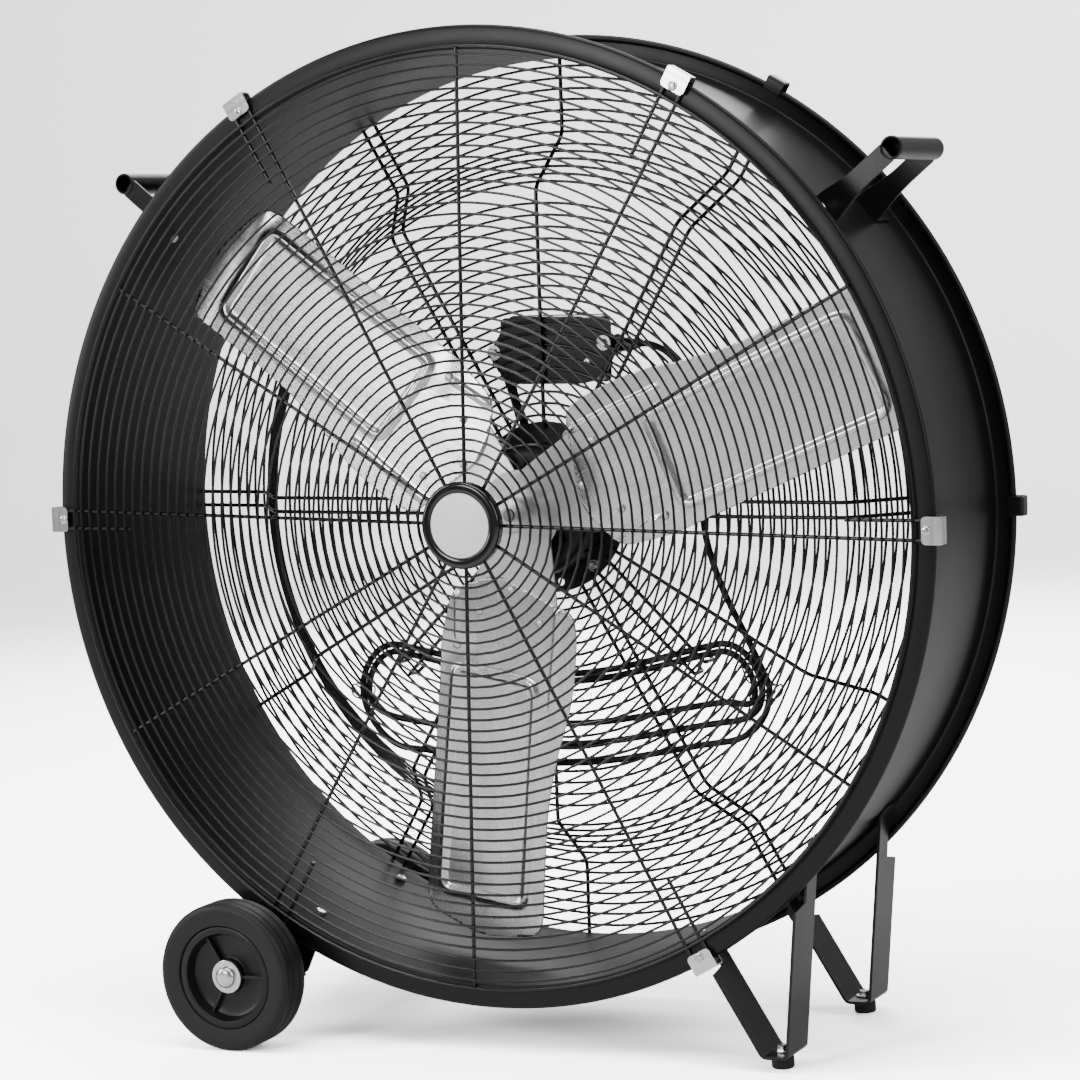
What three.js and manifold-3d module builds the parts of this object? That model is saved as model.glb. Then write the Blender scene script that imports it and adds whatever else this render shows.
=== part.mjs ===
// Portable drum fan of the 36 inch class. A rolled steel drum carries a wire guard at each
// end, the rear guard carries the motor with its three-blade fan, and two carrying handles,
// two V-shaped legs with rubber feet and a pair of wheels are fixed to the drum.
// Millimetres and degrees, +Z up, the front faces -Y, and the origin lies on the floor under
// the middle of the drum. Angles round the drum go from +X towards +Z.

import * as THREE from 'three';
import { mergeVertices } from 'three/addons/utils/BufferGeometryUtils.js';
import Module from 'manifold-3d';

const wasm = await Module();
wasm.setup();

// ---------------------------------------------------------------- fits
const seat = 0.3; // gap between two pieces that rest on each other
const running = 0.3; // radial clearance round a turning shaft
const weldDepth = 0.4; // how far a welded wire sinks into the one it lies on

// ---------------------------------------------------------------- drum
const groundClearance = 65.5; // below the drum wall
const drumTurn = 2; // the drum is fixed this far round from upright
const wallRadius = 461.3; // outside of the drum wall
const axisHeight = wallRadius + groundClearance; // fan axis above the floor
const drumSheet = 2;
const drumDepth = 238; // over both rolled edges
const flangeReach = 18.2; // from the wall to the middle of the rolled edge
const beadRadius = 3.5; // rolled edge
const drumSides = 48;

// ---------------------------------------------------------------- wire guards
const ringWire = 2.4;
const spokeWire = 3.4;
const ringStride = 5; // one ring in this many is modelled
const frontRingInset = 17.4; // outermost ring from the drum wall
const frontRingPitch = 10.9;
const frontSpokeTurn = -1.15; // the spokes pass this far beside the clip screws
const clipWireLength = 83; // the short second wire at each clip
const clipWireOffset = 9;
const rimRingStep = 0.7; // the wire along the flange, out from the drum wall
const centreDiscRadius = 40;
const centreDiscSheet = 2;
const rearFlatInset = 133.3; // flat middle of the rear guard, in from the drum wall
const rearEdgeInset = 79.3; // flat edge of the rear guard, in from the drum wall
const rearDish = 65; // how deep the middle of the rear guard lies
const rearInnerStep = 16.4; // first ring of the flat middle, in from its edge
const rearInnerPitch = 12;
const rearSlopeCount = 6;
const rearRingInset = 21.4; // first ring of the flat edge, in from the drum wall
const rearOuterPitch = 11;
const rearOuterCount = 6;
const rearPairSpacing = 15;
const spokeShort = 0.5; // clip spokes end this far inside the middle of the rolled edge
const hookPlaces = [[315.8, 232], [224.4, 248]]; // angle and reach of the two cord hooks
const hookHalf = 8.6; // each wire of a hook from its middle line
const hookDepth = 22; // how far a hook stands out behind the guard
const hookLip = 9;

// ---------------------------------------------------------------- guard cap
const capRadius = 43;
const capDepth = 11;
const capDiscRadius = 32;
const capDiscSheet = 1.3;
const capSides = 20;

// ---------------------------------------------------------------- guard clips
const clipCount = 6;
const clipSheet = 2;
const clipGap = 6; // between the rolled edge and the clip's outer sheet
const clipLength = 20;
const frontClipWidth = 26;
const rearClipWidth = 20;
const clipScrewRadius = 4.6;
const clipScrewHead = 2.4;

// ---------------------------------------------------------------- motor
const motorSides = 20;
const motorWall = 2;
const plateRadius = 88.5;
const plateSheet = 2.5;
const bodyRadius = 58; // rear shell of the motor
const bodyRear = 128;
const bodyFront = 40;
const bellRadius = 68; // front bell
const bellFront = 10;
const shaftRadius = 6;
const shaftFront = -31;
const bearingRadius = 16;
const bearingWidth = 10;
const bearingBossWall = 3;
const statorBore = 30.3;
const statorLength = 34;
const windingOverhang = 11;
const rotorAirGap = 0.9;
const ventCount = 6;
const ventWidth = 5;
const plateHoleAngles = [264, 279];

// ---------------------------------------------------------------- fan wheel
const bladeCount = 3;
const bladeSheet = 1.8;
const bladePlane = -7; // blade middle plane on the blade's own radius
const bladePitch = 0.09; // rise of the blade along its width
const bladeEmboss = 2.2;
const bladeTip = 437;
const spiderSheet = 2.5;
const spiderRadius = 44;
const hubRadius = 19;
const hubFront = -29;

// ---------------------------------------------------------------- control box and knob
const boxHalfWidth = 68;
const boxInner = 126; // nearest and farthest edge from the fan axis
const boxOuter = 196;
const boxDepth = 57;
const boxCorner = 6;
const knobRadius = 18;
const knobDepth = 17;
const knobHeight = 161;
const leadRadius = 3; // leads from the box to the motor
const leadStart = -60;
const leadAngle = 110;

// ---------------------------------------------------------------- handles
const handleAngle = 50.8; // to each side of the drum's own vertical
const handleTubeRadius = 11;
const handleTubeWall = 2;
const handleTubeLength = 116;
const handleReach = 88.7; // tube axis out from the drum wall
const handleTubeEnd = 3; // how far the tube stands out past the middle of each arm plate
const handleFootLength = 37;
const plateWork = 3; // sheet of the arms, legs and wheel bracket
const armWidth = 20;
const armFootWidth = 31;

// ---------------------------------------------------------------- legs and feet
const legWidth = 50;
const legInner = 84.3; // nearest edge to the middle of the drum
const legTab = 25; // width of the tab that is bolted to the wall
const legBottom = 13;
const legHeel = [286.5, 311.3]; // bends at the bottom of the V
const legWallAngles = [299, 316.2]; // where the two sides meet the wall
const legTabArc = 1.9;
const footRadius = 11;
const footSpread = 109.3; // from the middle of the drum
const footX = 297;

// ---------------------------------------------------------------- wheels and their bracket
const wheelX = -283.7;
const wheelRadius = 76;
const wheelWidth = 40;
const wheelMid = 160.9; // from the middle of the drum
const wheelSides = 20;
const wheelRim = 53;
const wheelBoss = 17;
const axleRadius = 6;
const bossProud = 11.1; // outer face of the wheel boss from the wheel's middle
const axleEnd = 6; // how far the axle stands out of the wheel boss
const bracketCheek = 100;
const bracketAngles = [239, 243.2];
const bracketDrop = 56.7; // how far the bracket's cheeks reach out from the wall
const armPlane = 137; // outer part of the cranked arm
const armHeight = 28;

// ---------------------------------------------------------------- cord
const cordRadius = 3.5;
const reliefLength = 26;
const reliefRadius = 8;
const tieSheet = 1.2;
const tieWidth = 3;
const hankMiddle = -6.5; // middle of the hank across the fan
const hankHalfLength = 241.5;
const hankHalfHeight = 52;
const hankEndHeight = 335; // height of the middle of its round ends
const hankSag = 29;
const hankTurns = 2.25;
const hankPitch = 7.9; // from strand to strand
const hankSlack = 12; // added between strands along the bottom
const hankLift = 6; // rise of the strands over the hooks
const hankDroop = 11; // hang of the strands below the left end
const plugRadius = 13;
const plugClimb = 10;

// ---------------------------------------------------------------- finishes
const blackPaint = { color: 0x16171a, roughness: 0.42, metalness: 0.5 };
const blackWire = { color: 0x101114, roughness: 0.3, metalness: 0.6 };
const blackPlastic = { color: 0x151515, roughness: 0.6, metalness: 0 };
const rubber = { color: 0x1b1b1b, roughness: 0.9, metalness: 0 };
const zinc = { color: 0xc9cacc, roughness: 0.35, metalness: 1 };
const steel = { color: 0x9a9c9f, roughness: 0.35, metalness: 1 };
const aluminium = { color: 0xb9bcbf, roughness: 0.38, metalness: 1 };
const copper = { color: 0x9c5a33, roughness: 0.5, metalness: 0.8 };
const whitePlastic = { color: 0xe9e9e6, roughness: 0.5, metalness: 0 };

// ---------------------------------------------------------------- geometry helpers
const radians = (degrees) => (degrees * Math.PI) / 180;

// A point in the plane across the fan axis, measured from the axis.
function polar(radius, degrees) {
  return [radius * Math.cos(radians(degrees)), radius * Math.sin(radians(degrees))];
}

// The same in the level frame of the legs and wheels, measured from the floor.
function onFloor(radius, degrees) {
  const [x, z] = polar(radius, degrees);
  return [x, z + axisHeight];
}

// A point of the turned drum in the level frame.
function fromDrum(x, y, z) {
  const point = new THREE.Vector3(x, y, z);
  point.applyAxisAngle(new THREE.Vector3(0, 1, 0), radians(drumTurn));
  point.z += axisHeight;
  return point;
}

function signedVolume(positions, index) {
  const corners = [new THREE.Vector3(), new THREE.Vector3(), new THREE.Vector3()];
  let sum = 0;
  for (let i = 0; i < index.length; i += 3) {
    corners.forEach((corner, k) => corner.fromArray(positions, 3 * index[i + k]));
    sum += corners[0].dot(corners[1].cross(corners[2]));
  }
  return sum;
}

// Merges shared corners, drops flat triangles and turns every face outwards.
function closed(geometry) {
  const bare = new THREE.BufferGeometry();
  bare.setAttribute('position', geometry.getAttribute('position'));
  bare.setIndex(geometry.getIndex());
  const merged = mergeVertices(bare, 1e-3);
  const all = merged.getIndex().array;
  const index = [];
  for (let i = 0; i < all.length; i += 3) {
    const [a, b, c] = [all[i], all[i + 1], all[i + 2]];
    if (a !== b && b !== c && c !== a) index.push(a, b, c);
  }
  if (signedVolume(merged.getAttribute('position').array, index) < 0) index.reverse();
  merged.setIndex(index);
  return merged;
}

function toSolid(geometry) {
  const body = closed(geometry);
  const mesh = new wasm.Mesh({
    numProp: 3,
    vertProperties: new Float32Array(body.getAttribute('position').array),
    triVerts: new Uint32Array(body.getIndex().array),
  });
  return new wasm.Manifold(mesh);
}

function fromSolid(solid) {
  const mesh = solid.getMesh();
  const geometry = new THREE.BufferGeometry();
  geometry.setAttribute('position', new THREE.Float32BufferAttribute(mesh.vertProperties, 3));
  geometry.setIndex(Array.from(mesh.triVerts));
  return geometry;
}

function join(pieces) {
  return fromSolid(pieces.map(toSolid).reduce((whole, piece) => whole.add(piece)));
}

function cut(piece, tools) {
  return fromSolid(tools.map(toSolid).reduce((rest, tool) => rest.subtract(tool), toSolid(piece)));
}

// A solid of revolution about Y. The profile is a list of [radius, y]: it closes on itself
// unless its first point lies on the axis. startAngle is the angle of its first corner.
function revolve(profile, sides, startAngle = 0) {
  const points = profile.map(([radius, y]) => new THREE.Vector2(radius, y));
  if (profile[0][0] > 0) points.push(points[0].clone());
  return closed(new THREE.LatheGeometry(points, sides, radians(90 - startAngle)));
}

function toShape(outline) {
  if (outline instanceof THREE.Shape) return outline;
  return new THREE.Shape(outline.map(([x, y]) => new THREE.Vector2(x, y)));
}

// A flat piece across the Y axis, from an outline in X and Z.
function plateAcross(outline, yFrom, yTo, steps = 4) {
  const options = { depth: yTo - yFrom, bevelEnabled: false, curveSegments: steps };
  const geometry = new THREE.ExtrudeGeometry(toShape(outline), options);
  geometry.rotateX(Math.PI / 2);
  geometry.translate(0, yTo, 0);
  return geometry;
}

// A piece with one outline in X and Y, as wide as given along Z.
function barAlong(outline, width) {
  const options = { depth: width, bevelEnabled: false };
  const geometry = new THREE.ExtrudeGeometry(toShape(outline), options);
  geometry.translate(0, 0, -width / 2);
  return geometry;
}

// The outline of a bent strip of even thickness along a middle line.
function strip(middle, thickness) {
  const points = middle.map(([x, y]) => new THREE.Vector2(x, y));
  const sides = [[], []];
  points.forEach((point, i) => {
    const before = point.clone().sub(points[Math.max(i - 1, 0)]);
    const after = points[Math.min(i + 1, points.length - 1)].clone().sub(point);
    const from = (i > 0 ? before : after).normalize();
    const to = (i < points.length - 1 ? after : before).normalize();
    const normal = new THREE.Vector2(-from.y - to.y, from.x + to.x).normalize();
    const reach = thickness / 2 / normal.dot(new THREE.Vector2(-from.y, from.x));
    sides[0].push([point.x + normal.x * reach, point.y + normal.y * reach]);
    sides[1].unshift([point.x - normal.x * reach, point.y - normal.y * reach]);
  });
  return [...sides[0], ...sides[1]];
}

// An outline with round corners. Each corner is [x, y, radius].
function rounded(corners) {
  const shape = new THREE.Shape();
  corners.forEach(([x, y, radius], i) => {
    const corner = new THREE.Vector2(x, y);
    const previous = new THREE.Vector2(...corners[(i + corners.length - 1) % corners.length]);
    const next = new THREE.Vector2(...corners[(i + 1) % corners.length]);
    const into = corner.clone().add(previous.sub(corner).setLength(radius));
    const out = corner.clone().add(next.sub(corner).setLength(radius));
    if (i === 0) shape.moveTo(into.x, into.y);
    else shape.lineTo(into.x, into.y);
    shape.quadraticCurveTo(x, y, out.x, out.y);
  });
  shape.closePath();
  return shape;
}

function roundedBox(x0, y0, x1, y1, radius) {
  return rounded([[x0, y0, radius], [x1, y0, radius], [x1, y1, radius], [x0, y1, radius]]);
}

// Turns a geometry built on the +X side of the fan axis to its angle round the drum.
function turned(geometry, degrees) {
  return geometry.rotateY(radians(-degrees));
}

function rod(radius, yFrom, yTo, sides) {
  return revolve([[0, yFrom], [radius, yFrom], [radius, yTo], [0, yTo]], sides);
}

function boxFrom(x0, x1, y0, y1, z0, z1) {
  const box = new THREE.BoxGeometry(x1 - x0, y1 - y0, z1 - z0);
  return box.translate((x0 + x1) / 2, (y0 + y1) / 2, (z0 + z1) / 2);
}

function angles(count, first = 0) {
  return Array.from({ length: count }, (_, k) => first + (360 * k) / count);
}

function piece(name, geometry, finish) {
  const mesh = new THREE.Mesh(closed(geometry), new THREE.MeshStandardMaterial(finish));
  mesh.name = name;
  return mesh;
}

// ---------------------------------------------------------------- drum
const drumEnd = drumDepth / 2;
const beadCentre = wallRadius + flangeReach;
const clipOuter = beadCentre + beadRadius + clipGap + clipSheet;
const clipInner = clipOuter - clipLength;
const spokeReach = beadCentre - spokeShort;
const clipWireStart = spokeReach - clipWireLength;
const rimRing = wallRadius + rimRingStep;
const frontOuterRing = wallRadius - frontRingInset;
const frontRingRoom = frontOuterRing - centreDiscRadius - ringWire;
const frontRingCount = Math.floor(frontRingRoom / frontRingPitch) + 1;
const rearInnerZone = wallRadius - rearFlatInset;
const rearOuterZone = wallRadius - rearEdgeInset;
const rearOuterRing = wallRadius - rearRingInset;
const rearInnerRing = rearInnerZone - rearInnerStep;
const rearInnerCount = Math.floor((rearInnerRing - plateRadius) / rearInnerPitch) + 1;
const bracketReach = wallRadius + bracketDrop;
const bossOutside = wheelMid + bossProud;
const axleHalf = bossOutside + axleEnd;
const handleAxis = wallRadius + handleReach;
const handleArm = handleTubeLength / 2 - handleTubeEnd; // from the middle of the drum
const handleFootEnd = handleArm + handleFootLength;
const beadBack = drumEnd - 2 * beadRadius;

// One end of the drum's section: flange, rolled edge and back to the wall.
function drumEdge(side) {
  const edge = [[wallRadius - drumSheet, drumEnd], [beadCentre, drumEnd]];
  for (const degrees of [20, -50, -140]) {
    const [out, along] = polar(beadRadius, degrees);
    edge.push([beadCentre + out, drumEnd - beadRadius + along]);
  }
  edge.push([beadCentre - beadRadius, drumEnd - drumSheet]);
  edge.push([wallRadius, drumEnd - drumSheet]);
  return edge.map(([radius, y]) => [radius, side * y]);
}

function drumShell() {
  return revolve([...drumEdge(1), ...drumEdge(-1).reverse()], drumSides);
}

// ---------------------------------------------------------------- wire guards
const spokePlane = drumEnd + seat + spokeWire / 2;
const rearMiddlePlane = spokePlane - rearDish;
const rearMiddleFace = rearMiddlePlane + spokeWire / 2 + ringWire;

function ringSides(radius) {
  return radius > 100 ? 24 : 12;
}

// A ring that lies on the spokes at [radius, y], measured where it crosses them. face
// points from the spoke to the ring.
function guardRing([radius, y], face, spokeTurn) {
  const place = new THREE.Vector2(radius, y);
  const along = new THREE.Vector2(-face.y, face.x).multiplyScalar(ringWire / 2);
  const foot = place.clone().addScaledVector(face, spokeWire / 2 - weldDepth);
  const crown = place.clone().addScaledVector(face, spokeWire / 2 + ringWire);
  const profile = [foot, crown.clone().add(along), crown.clone().sub(along)];
  const sides = ringSides(radius);
  const flats = Math.cos(Math.PI / sides);
  return revolve(profile.map(({ x, y }) => [x / flats, y]), sides, spokeTurn + 180 / sides);
}

// Every ringStride-th of the evenly spaced rings, from the outermost inwards.
function ringRadii(outermost, pitch, count) {
  const radii = [];
  for (let k = 0; k < count; k += ringStride) radii.push(outermost - k * pitch);
  return radii;
}

function frontGuard() {
  const face = new THREE.Vector2(0, -1);
  const radii = [rimRing, ...ringRadii(frontOuterRing, frontRingPitch, frontRingCount)];
  const wires = radii.map((radius) => guardRing([radius, -spokePlane], face, frontSpokeTurn));
  const half = spokeWire / 2;
  const spoke = (from, to, offset, degrees) => {
    const bar = boxFrom(from, to, -spokePlane - half, -spokePlane + half, offset - half, offset + half);
    return turned(bar, degrees);
  };
  for (const degrees of angles(clipCount)) {
    wires.push(spoke(centreDiscRadius / 2, spokeReach, 0, degrees + frontSpokeTurn));
    wires.push(spoke(clipWireStart, spokeReach, clipWireOffset, degrees));
  }
  for (const degrees of angles(clipCount, 180 / clipCount)) {
    wires.push(spoke(centreDiscRadius / 2, rimRing + 1, 0, degrees + frontSpokeTurn));
  }
  const discFront = -spokePlane + half - weldDepth;
  wires.push(rod(centreDiscRadius, discFront, discFront + centreDiscSheet, capSides));
  return join(wires);
}

// The rear guard's section, from its middle out to the edge.
function rearSpoke(outerEnd, offset, degrees) {
  const middle = [
    [plateRadius - 8, rearMiddlePlane],
    [rearInnerZone, rearMiddlePlane],
    [rearOuterZone, spokePlane],
    [outerEnd, spokePlane],
  ];
  const bar = barAlong(strip(middle, spokeWire), spokeWire);
  return turned(bar.translate(0, 0, offset), degrees);
}

function rearGuard() {
  const flat = new THREE.Vector2(0, 1);
  const rise = new THREE.Vector2(rearOuterZone - rearInnerZone, rearDish);
  const slope = new THREE.Vector2(-rise.y, rise.x).normalize();
  const outer = [rimRing, ...ringRadii(rearOuterRing, rearOuterPitch, rearOuterCount)];
  const wires = outer.map((radius) => guardRing([radius, spokePlane], flat, 0));
  for (let k = 2; k <= rearSlopeCount; k += ringStride) {
    const share = k / (rearSlopeCount + 1);
    const place = [rearInnerZone + share * rise.x, rearMiddlePlane + share * rise.y];
    wires.push(guardRing(place, slope, 0));
  }
  for (const radius of ringRadii(rearInnerRing, rearInnerPitch, rearInnerCount)) {
    wires.push(guardRing([radius, rearMiddlePlane], flat, 0));
  }
  for (const degrees of angles(clipCount)) {
    wires.push(rearSpoke(spokeReach, rearPairSpacing / 2, degrees));
    wires.push(rearSpoke(spokeReach, -rearPairSpacing / 2, degrees));
  }
  for (const degrees of angles(clipCount, 180 / clipCount)) {
    wires.push(rearSpoke(rimRing + 1, 0, degrees));
  }
  for (const [degrees, reach] of hookPlaces) {
    wires.push(cordHook(reach, hookHalf, degrees));
    wires.push(cordHook(reach, -hookHalf, degrees));
  }
  return join(wires);
}

// A wire beside the spokes whose end is bent back and inwards to carry the cord.
function cordHook(reach, offset, degrees) {
  const middle = [
    [plateRadius - 8, rearMiddlePlane],
    [reach, rearMiddlePlane],
    [reach, rearMiddlePlane + hookDepth],
    [reach - hookLip, rearMiddlePlane + hookDepth],
  ];
  const wire = barAlong(strip(middle, spokeWire), spokeWire);
  return turned(wire.translate(0, 0, offset), degrees);
}

// ---------------------------------------------------------------- guard cap
function guardCap() {
  const back = -spokePlane - spokeWire / 2 - seat;
  const front = back - capDepth;
  const recess = front + capDiscSheet + seat + 0.4;
  return revolve([
    [0, back],
    [capRadius, back],
    [capRadius, front + 3],
    [capRadius - 3, front],
    [capDiscRadius + seat + 0.7, front],
    [capDiscRadius + seat, recess],
    [0, recess],
  ], capSides);
}

function capDisc() {
  const front = -spokePlane - spokeWire / 2 - seat - capDepth + 0.4;
  return rod(capDiscRadius, front, front + capDiscSheet, capSides);
}

// ---------------------------------------------------------------- guard clips
// A hooked plate that holds the guard's wires on the flange and grips the rolled edge.
function guardClip(side, width) {
  const plateBack = spokePlane + spokeWire / 2 + seat;
  const hook = beadBack - seat;
  const section = [
    [clipInner, plateBack],
    [clipInner, plateBack + clipSheet],
    [clipOuter, plateBack + clipSheet],
    [clipOuter, hook - clipSheet],
    [beadCentre - beadRadius, hook - clipSheet],
    [beadCentre - beadRadius, hook],
    [clipOuter - clipSheet, hook],
    [clipOuter - clipSheet, plateBack],
  ].map(([radius, y]) => [radius, side * y]);
  const plateFront = plateBack + clipSheet;
  const screw = rod(clipScrewRadius, plateFront - 1, plateFront + clipScrewHead, 8);
  screw.translate((clipInner + beadCentre) / 2, 0, 0);
  if (side < 0) screw.scale(1, -1, 1);
  return join([barAlong(section, width), screw]);
}

// ---------------------------------------------------------------- motor
const plateFront = rearMiddlePlane + spokeWire / 2 + seat;
const plateBack = plateFront + plateSheet;

function motorPlate() {
  const shape = new THREE.Shape();
  shape.absarc(0, 0, plateRadius, 0, 2 * Math.PI);
  const bore = new THREE.Path();
  bore.absarc(0, 0, (bodyRadius + seat) / Math.cos(Math.PI / motorSides), 0, 2 * Math.PI);
  shape.holes.push(bore);
  for (const degrees of plateHoleAngles) {
    const hole = new THREE.Path();
    const [x, z] = polar((bellRadius + plateRadius) / 2, degrees);
    hole.absarc(x, z, 4, 0, 2 * Math.PI);
    shape.holes.push(hole);
  }
  return plateAcross(shape, plateFront, plateBack, motorSides / 2);
}

// Slots through an end face and through the side of a motor shell.
function ventSlots(faceFrom, faceTo, yFace, ySide) {
  const slots = [];
  for (const degrees of angles(ventCount, 180 / ventCount)) {
    const half = ventWidth / 2;
    slots.push(turned(boxFrom(faceFrom, faceTo, ...yFace, -half, half), degrees));
    slots.push(turned(boxFrom(bodyRadius - 8, bellRadius + 8, ...ySide, -half, half), degrees));
  }
  return slots;
}

const bossRadius = bearingRadius + seat + bearingBossWall;
const bossDepth = bearingWidth + 2 * seat + motorWall;

function frontBell() {
  const inside = bellRadius - motorWall;
  const rim = plateFront - seat;
  const body = revolve([
    [bellRadius, rim],
    [bellRadius, bellFront + 12],
    [bellRadius - 3.5, bellFront + 4],
    [bellRadius - 11, bellFront],
    [shaftRadius + 3, bellFront],
    [shaftRadius + 3, bellFront + motorWall],
    [bearingRadius + seat, bellFront + motorWall],
    [bearingRadius + seat, bellFront + bossDepth],
    [bossRadius, bellFront + bossDepth],
    [bossRadius, bellFront + motorWall],
    [inside - 10, bellFront + motorWall],
    [inside - 3, bellFront + 5.5],
    [inside, bellFront + 13],
    [inside, rim],
  ], motorSides);
  const yFace = [bellFront - 1, bellFront + motorWall + 1];
  return cut(body, ventSlots(bossRadius + 4, inside - 14, yFace, [bellFront + 18, rim - 8]));
}

function rearShell() {
  const inside = bodyRadius - motorWall;
  const body = revolve([
    [0, bodyRear],
    [bodyRadius - 11, bodyRear],
    [bodyRadius - 4, bodyRear - 3],
    [bodyRadius, bodyRear - 10],
    [bodyRadius, bodyFront],
    [inside, bodyFront],
    [inside, bodyRear - 11],
    [inside - 3, bodyRear - 4.5],
    [inside - 10, bodyRear - motorWall],
    [bossRadius, bodyRear - motorWall],
    [bossRadius, bodyRear - motorWall - bossDepth],
    [bearingRadius + seat, bodyRear - motorWall - bossDepth],
    [bearingRadius + seat, bodyRear - motorWall - 1],
    [0, bodyRear - motorWall - 1],
  ], motorSides);
  const yFace = [bodyRear - motorWall - 1, bodyRear + 1];
  const ySide = [bodyRear - 26, bodyRear - 14];
  return cut(body, ventSlots(bossRadius + 4, inside - 12, yFace, ySide));
}

// The laminated core with the ends of its winding on both sides.
const statorFront = plateFront - 4;

function stator() {
  const outside = bodyRadius - motorWall - seat;
  const back = statorFront + statorLength;
  return revolve([
    [outside, statorFront],
    [outside, back],
    [outside - 7, back],
    [outside - 9, back + windingOverhang],
    [statorBore + 5, back + windingOverhang],
    [statorBore + 3, back],
    [statorBore, back],
    [statorBore, statorFront],
    [statorBore + 3, statorFront],
    [statorBore + 5, statorFront - windingOverhang],
    [outside - 9, statorFront - windingOverhang],
    [outside - 7, statorFront],
  ], motorSides);
}

function ringPiece(inner, outer, yFrom, yTo, sides) {
  return revolve([[inner, yFrom], [outer, yFrom], [outer, yTo], [inner, yTo]], sides);
}

const frontBearingStart = bellFront + motorWall + seat;
const rearBearingStart = bodyRear - motorWall - bossDepth + seat;
const shaftBore = (shaftRadius + running) / Math.cos(Math.PI / motorSides);

// ---------------------------------------------------------------- fan wheel
// The spider and blades stand level, so their turn takes the drum's own turn back.
const tilt = (geometry) => {
  const position = geometry.getAttribute('position');
  for (let i = 0; i < position.count; i += 1) {
    position.setY(i, position.getY(i) + bladePlane - bladePitch * position.getX(i));
  }
  return geometry;
};

// The blade that points down, as [x, z, corner radius] from the fan axis.
function blade() {
  const outline = rounded([
    [-25, -65, 6],
    [-43, -65, 6],
    [-87, -76, 16],
    [-105, -130, 12],
    [-147, -0.934 * bladeTip, 24],
    [-80, -1.003 * bladeTip, 20],
    [-5.5, -0.998 * bladeTip, 20],
    [12.6, -283, 60],
    [50, -190, 30],
    [58.7, -129, 10],
    [57, -104, 10],
  ]);
  const panel = rounded([
    [-101, -162, 15],
    [-126.5, -0.879 * bladeTip, 15],
    [-19, -0.918 * bladeTip, 15],
    [11, -165, 15],
  ]);
  const sheet = plateAcross(outline, -bladeSheet / 2, bladeSheet / 2, 3);
  const raised = plateAcross(panel, -bladeSheet / 2 - bladeEmboss, 0, 3);
  return tilt(join([sheet, raised]));
}

// Three arms behind the blade roots, on a hub that is fixed on the shaft.
function hubSpider() {
  const front = bladeSheet / 2 + seat;
  const arm = rounded([
    [-30, -16, 4],
    [-92, -122, 10],
    [-84, -158, 10],
    [22, -138, 10],
    [38, -118, 10],
    [34, -16, 4],
  ]);
  const discFront = bladePlane + front;
  const pieces = [
    rod(spiderRadius, discFront, discFront + spiderSheet, motorSides),
    rod(hubRadius, hubFront, discFront + spiderSheet, motorSides),
  ];
  for (const degrees of angles(bladeCount)) {
    pieces.push(turned(tilt(plateAcross(arm, front, front + spiderSheet, 2)), degrees));
  }
  return cut(join(pieces), [rod(shaftBore, hubFront - 1, discFront + spiderSheet + 9, motorSides)]);
}

// ---------------------------------------------------------------- control box and knob
const boxFront = rearMiddleFace + seat;
const boxBack = boxFront + boxDepth;

function controlBox() {
  const outline = roundedBox(-boxHalfWidth, boxInner, boxHalfWidth, boxOuter, boxCorner);
  return plateAcross(outline, boxFront, boxBack, 3);
}

function speedKnob() {
  const back = boxBack + seat;
  const skirt = revolve([
    [0, back],
    [knobRadius, back],
    [knobRadius, back + 5],
    [knobRadius - 3, back + 7],
    [knobRadius - 4, back + knobDepth - 2],
    [knobRadius - 6, back + knobDepth],
    [0, back + knobDepth],
  ], 16);
  const grip = boxFrom(-3, 3, back + 4, back + knobDepth + 3, 4 - knobRadius, knobRadius);
  return join([skirt, grip]).translate(0, 0, knobHeight);
}

// ---------------------------------------------------------------- handles
function handle() {
  const foot = wallRadius + seat;
  const half = armWidth / 2;
  const footHalf = armFootWidth / 2;
  const armTop = handleAxis - handleTubeRadius / 2;
  const outline = [
    [foot, -footHalf],
    [foot + 9, -footHalf],
    [foot + 38, -half],
    [armTop, -half],
    [armTop, half],
    [foot + 38, half],
    [foot + 9, footHalf],
    [foot, footHalf],
  ];
  const end = handleTubeLength / 2;
  const pieces = [rod(handleTubeRadius, -end, end, 12).translate(handleAxis, 0, 0)];
  for (const side of [-1, 1]) {
    const middle = side * handleArm;
    pieces.push(plateAcross(outline, middle - plateWork / 2, middle + plateWork / 2));
    const span = [middle, side * handleFootEnd].sort((a, b) => a - b);
    pieces.push(boxFrom(foot, foot + plateWork, ...span, -footHalf, footHalf));
  }
  const bore = rod(handleTubeRadius - handleTubeWall, -end - 1, end + 1, 12);
  return cut(join(pieces), [bore.translate(handleAxis, 0, 0)]);
}

// ---------------------------------------------------------------- legs and feet
// A strip bent to a V, whose two ends lie on the drum wall behind the flange.
function leg(side) {
  const wall = wallRadius + seat + plateWork / 2;
  const [left, right] = legWallAngles;
  const middle = [
    onFloor(wall, left - legTabArc),
    onFloor(wall, left),
    [legHeel[0], legBottom + plateWork / 2],
    [legHeel[1], legBottom + plateWork / 2],
    onFloor(wall, right),
    onFloor(wall, right + legTabArc),
  ];
  const span = [side * legInner, side * (legInner + legWidth)].sort((a, b) => a - b);
  const strap = plateAcross(strip(middle, plateWork), ...span);
  const clear = clipOuter + 2;
  const tabEdge = legInner + legTab;
  const room = revolve([
    [wallRadius - 60, side * tabEdge],
    [clear, side * tabEdge],
    [clear + 4, side * (legInner + legWidth + 1)],
    [wallRadius - 60, side * (legInner + legWidth + 1)],
  ], drumSides, -drumTurn);
  return cut(strap, [room.translate(0, 0, axisHeight)]);
}

function rubberFoot(side) {
  const top = legBottom - seat;
  const foot = rod(footRadius, 0, top, 14).rotateX(Math.PI / 2);
  return foot.translate(footX, side * footSpread, 0);
}

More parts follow.
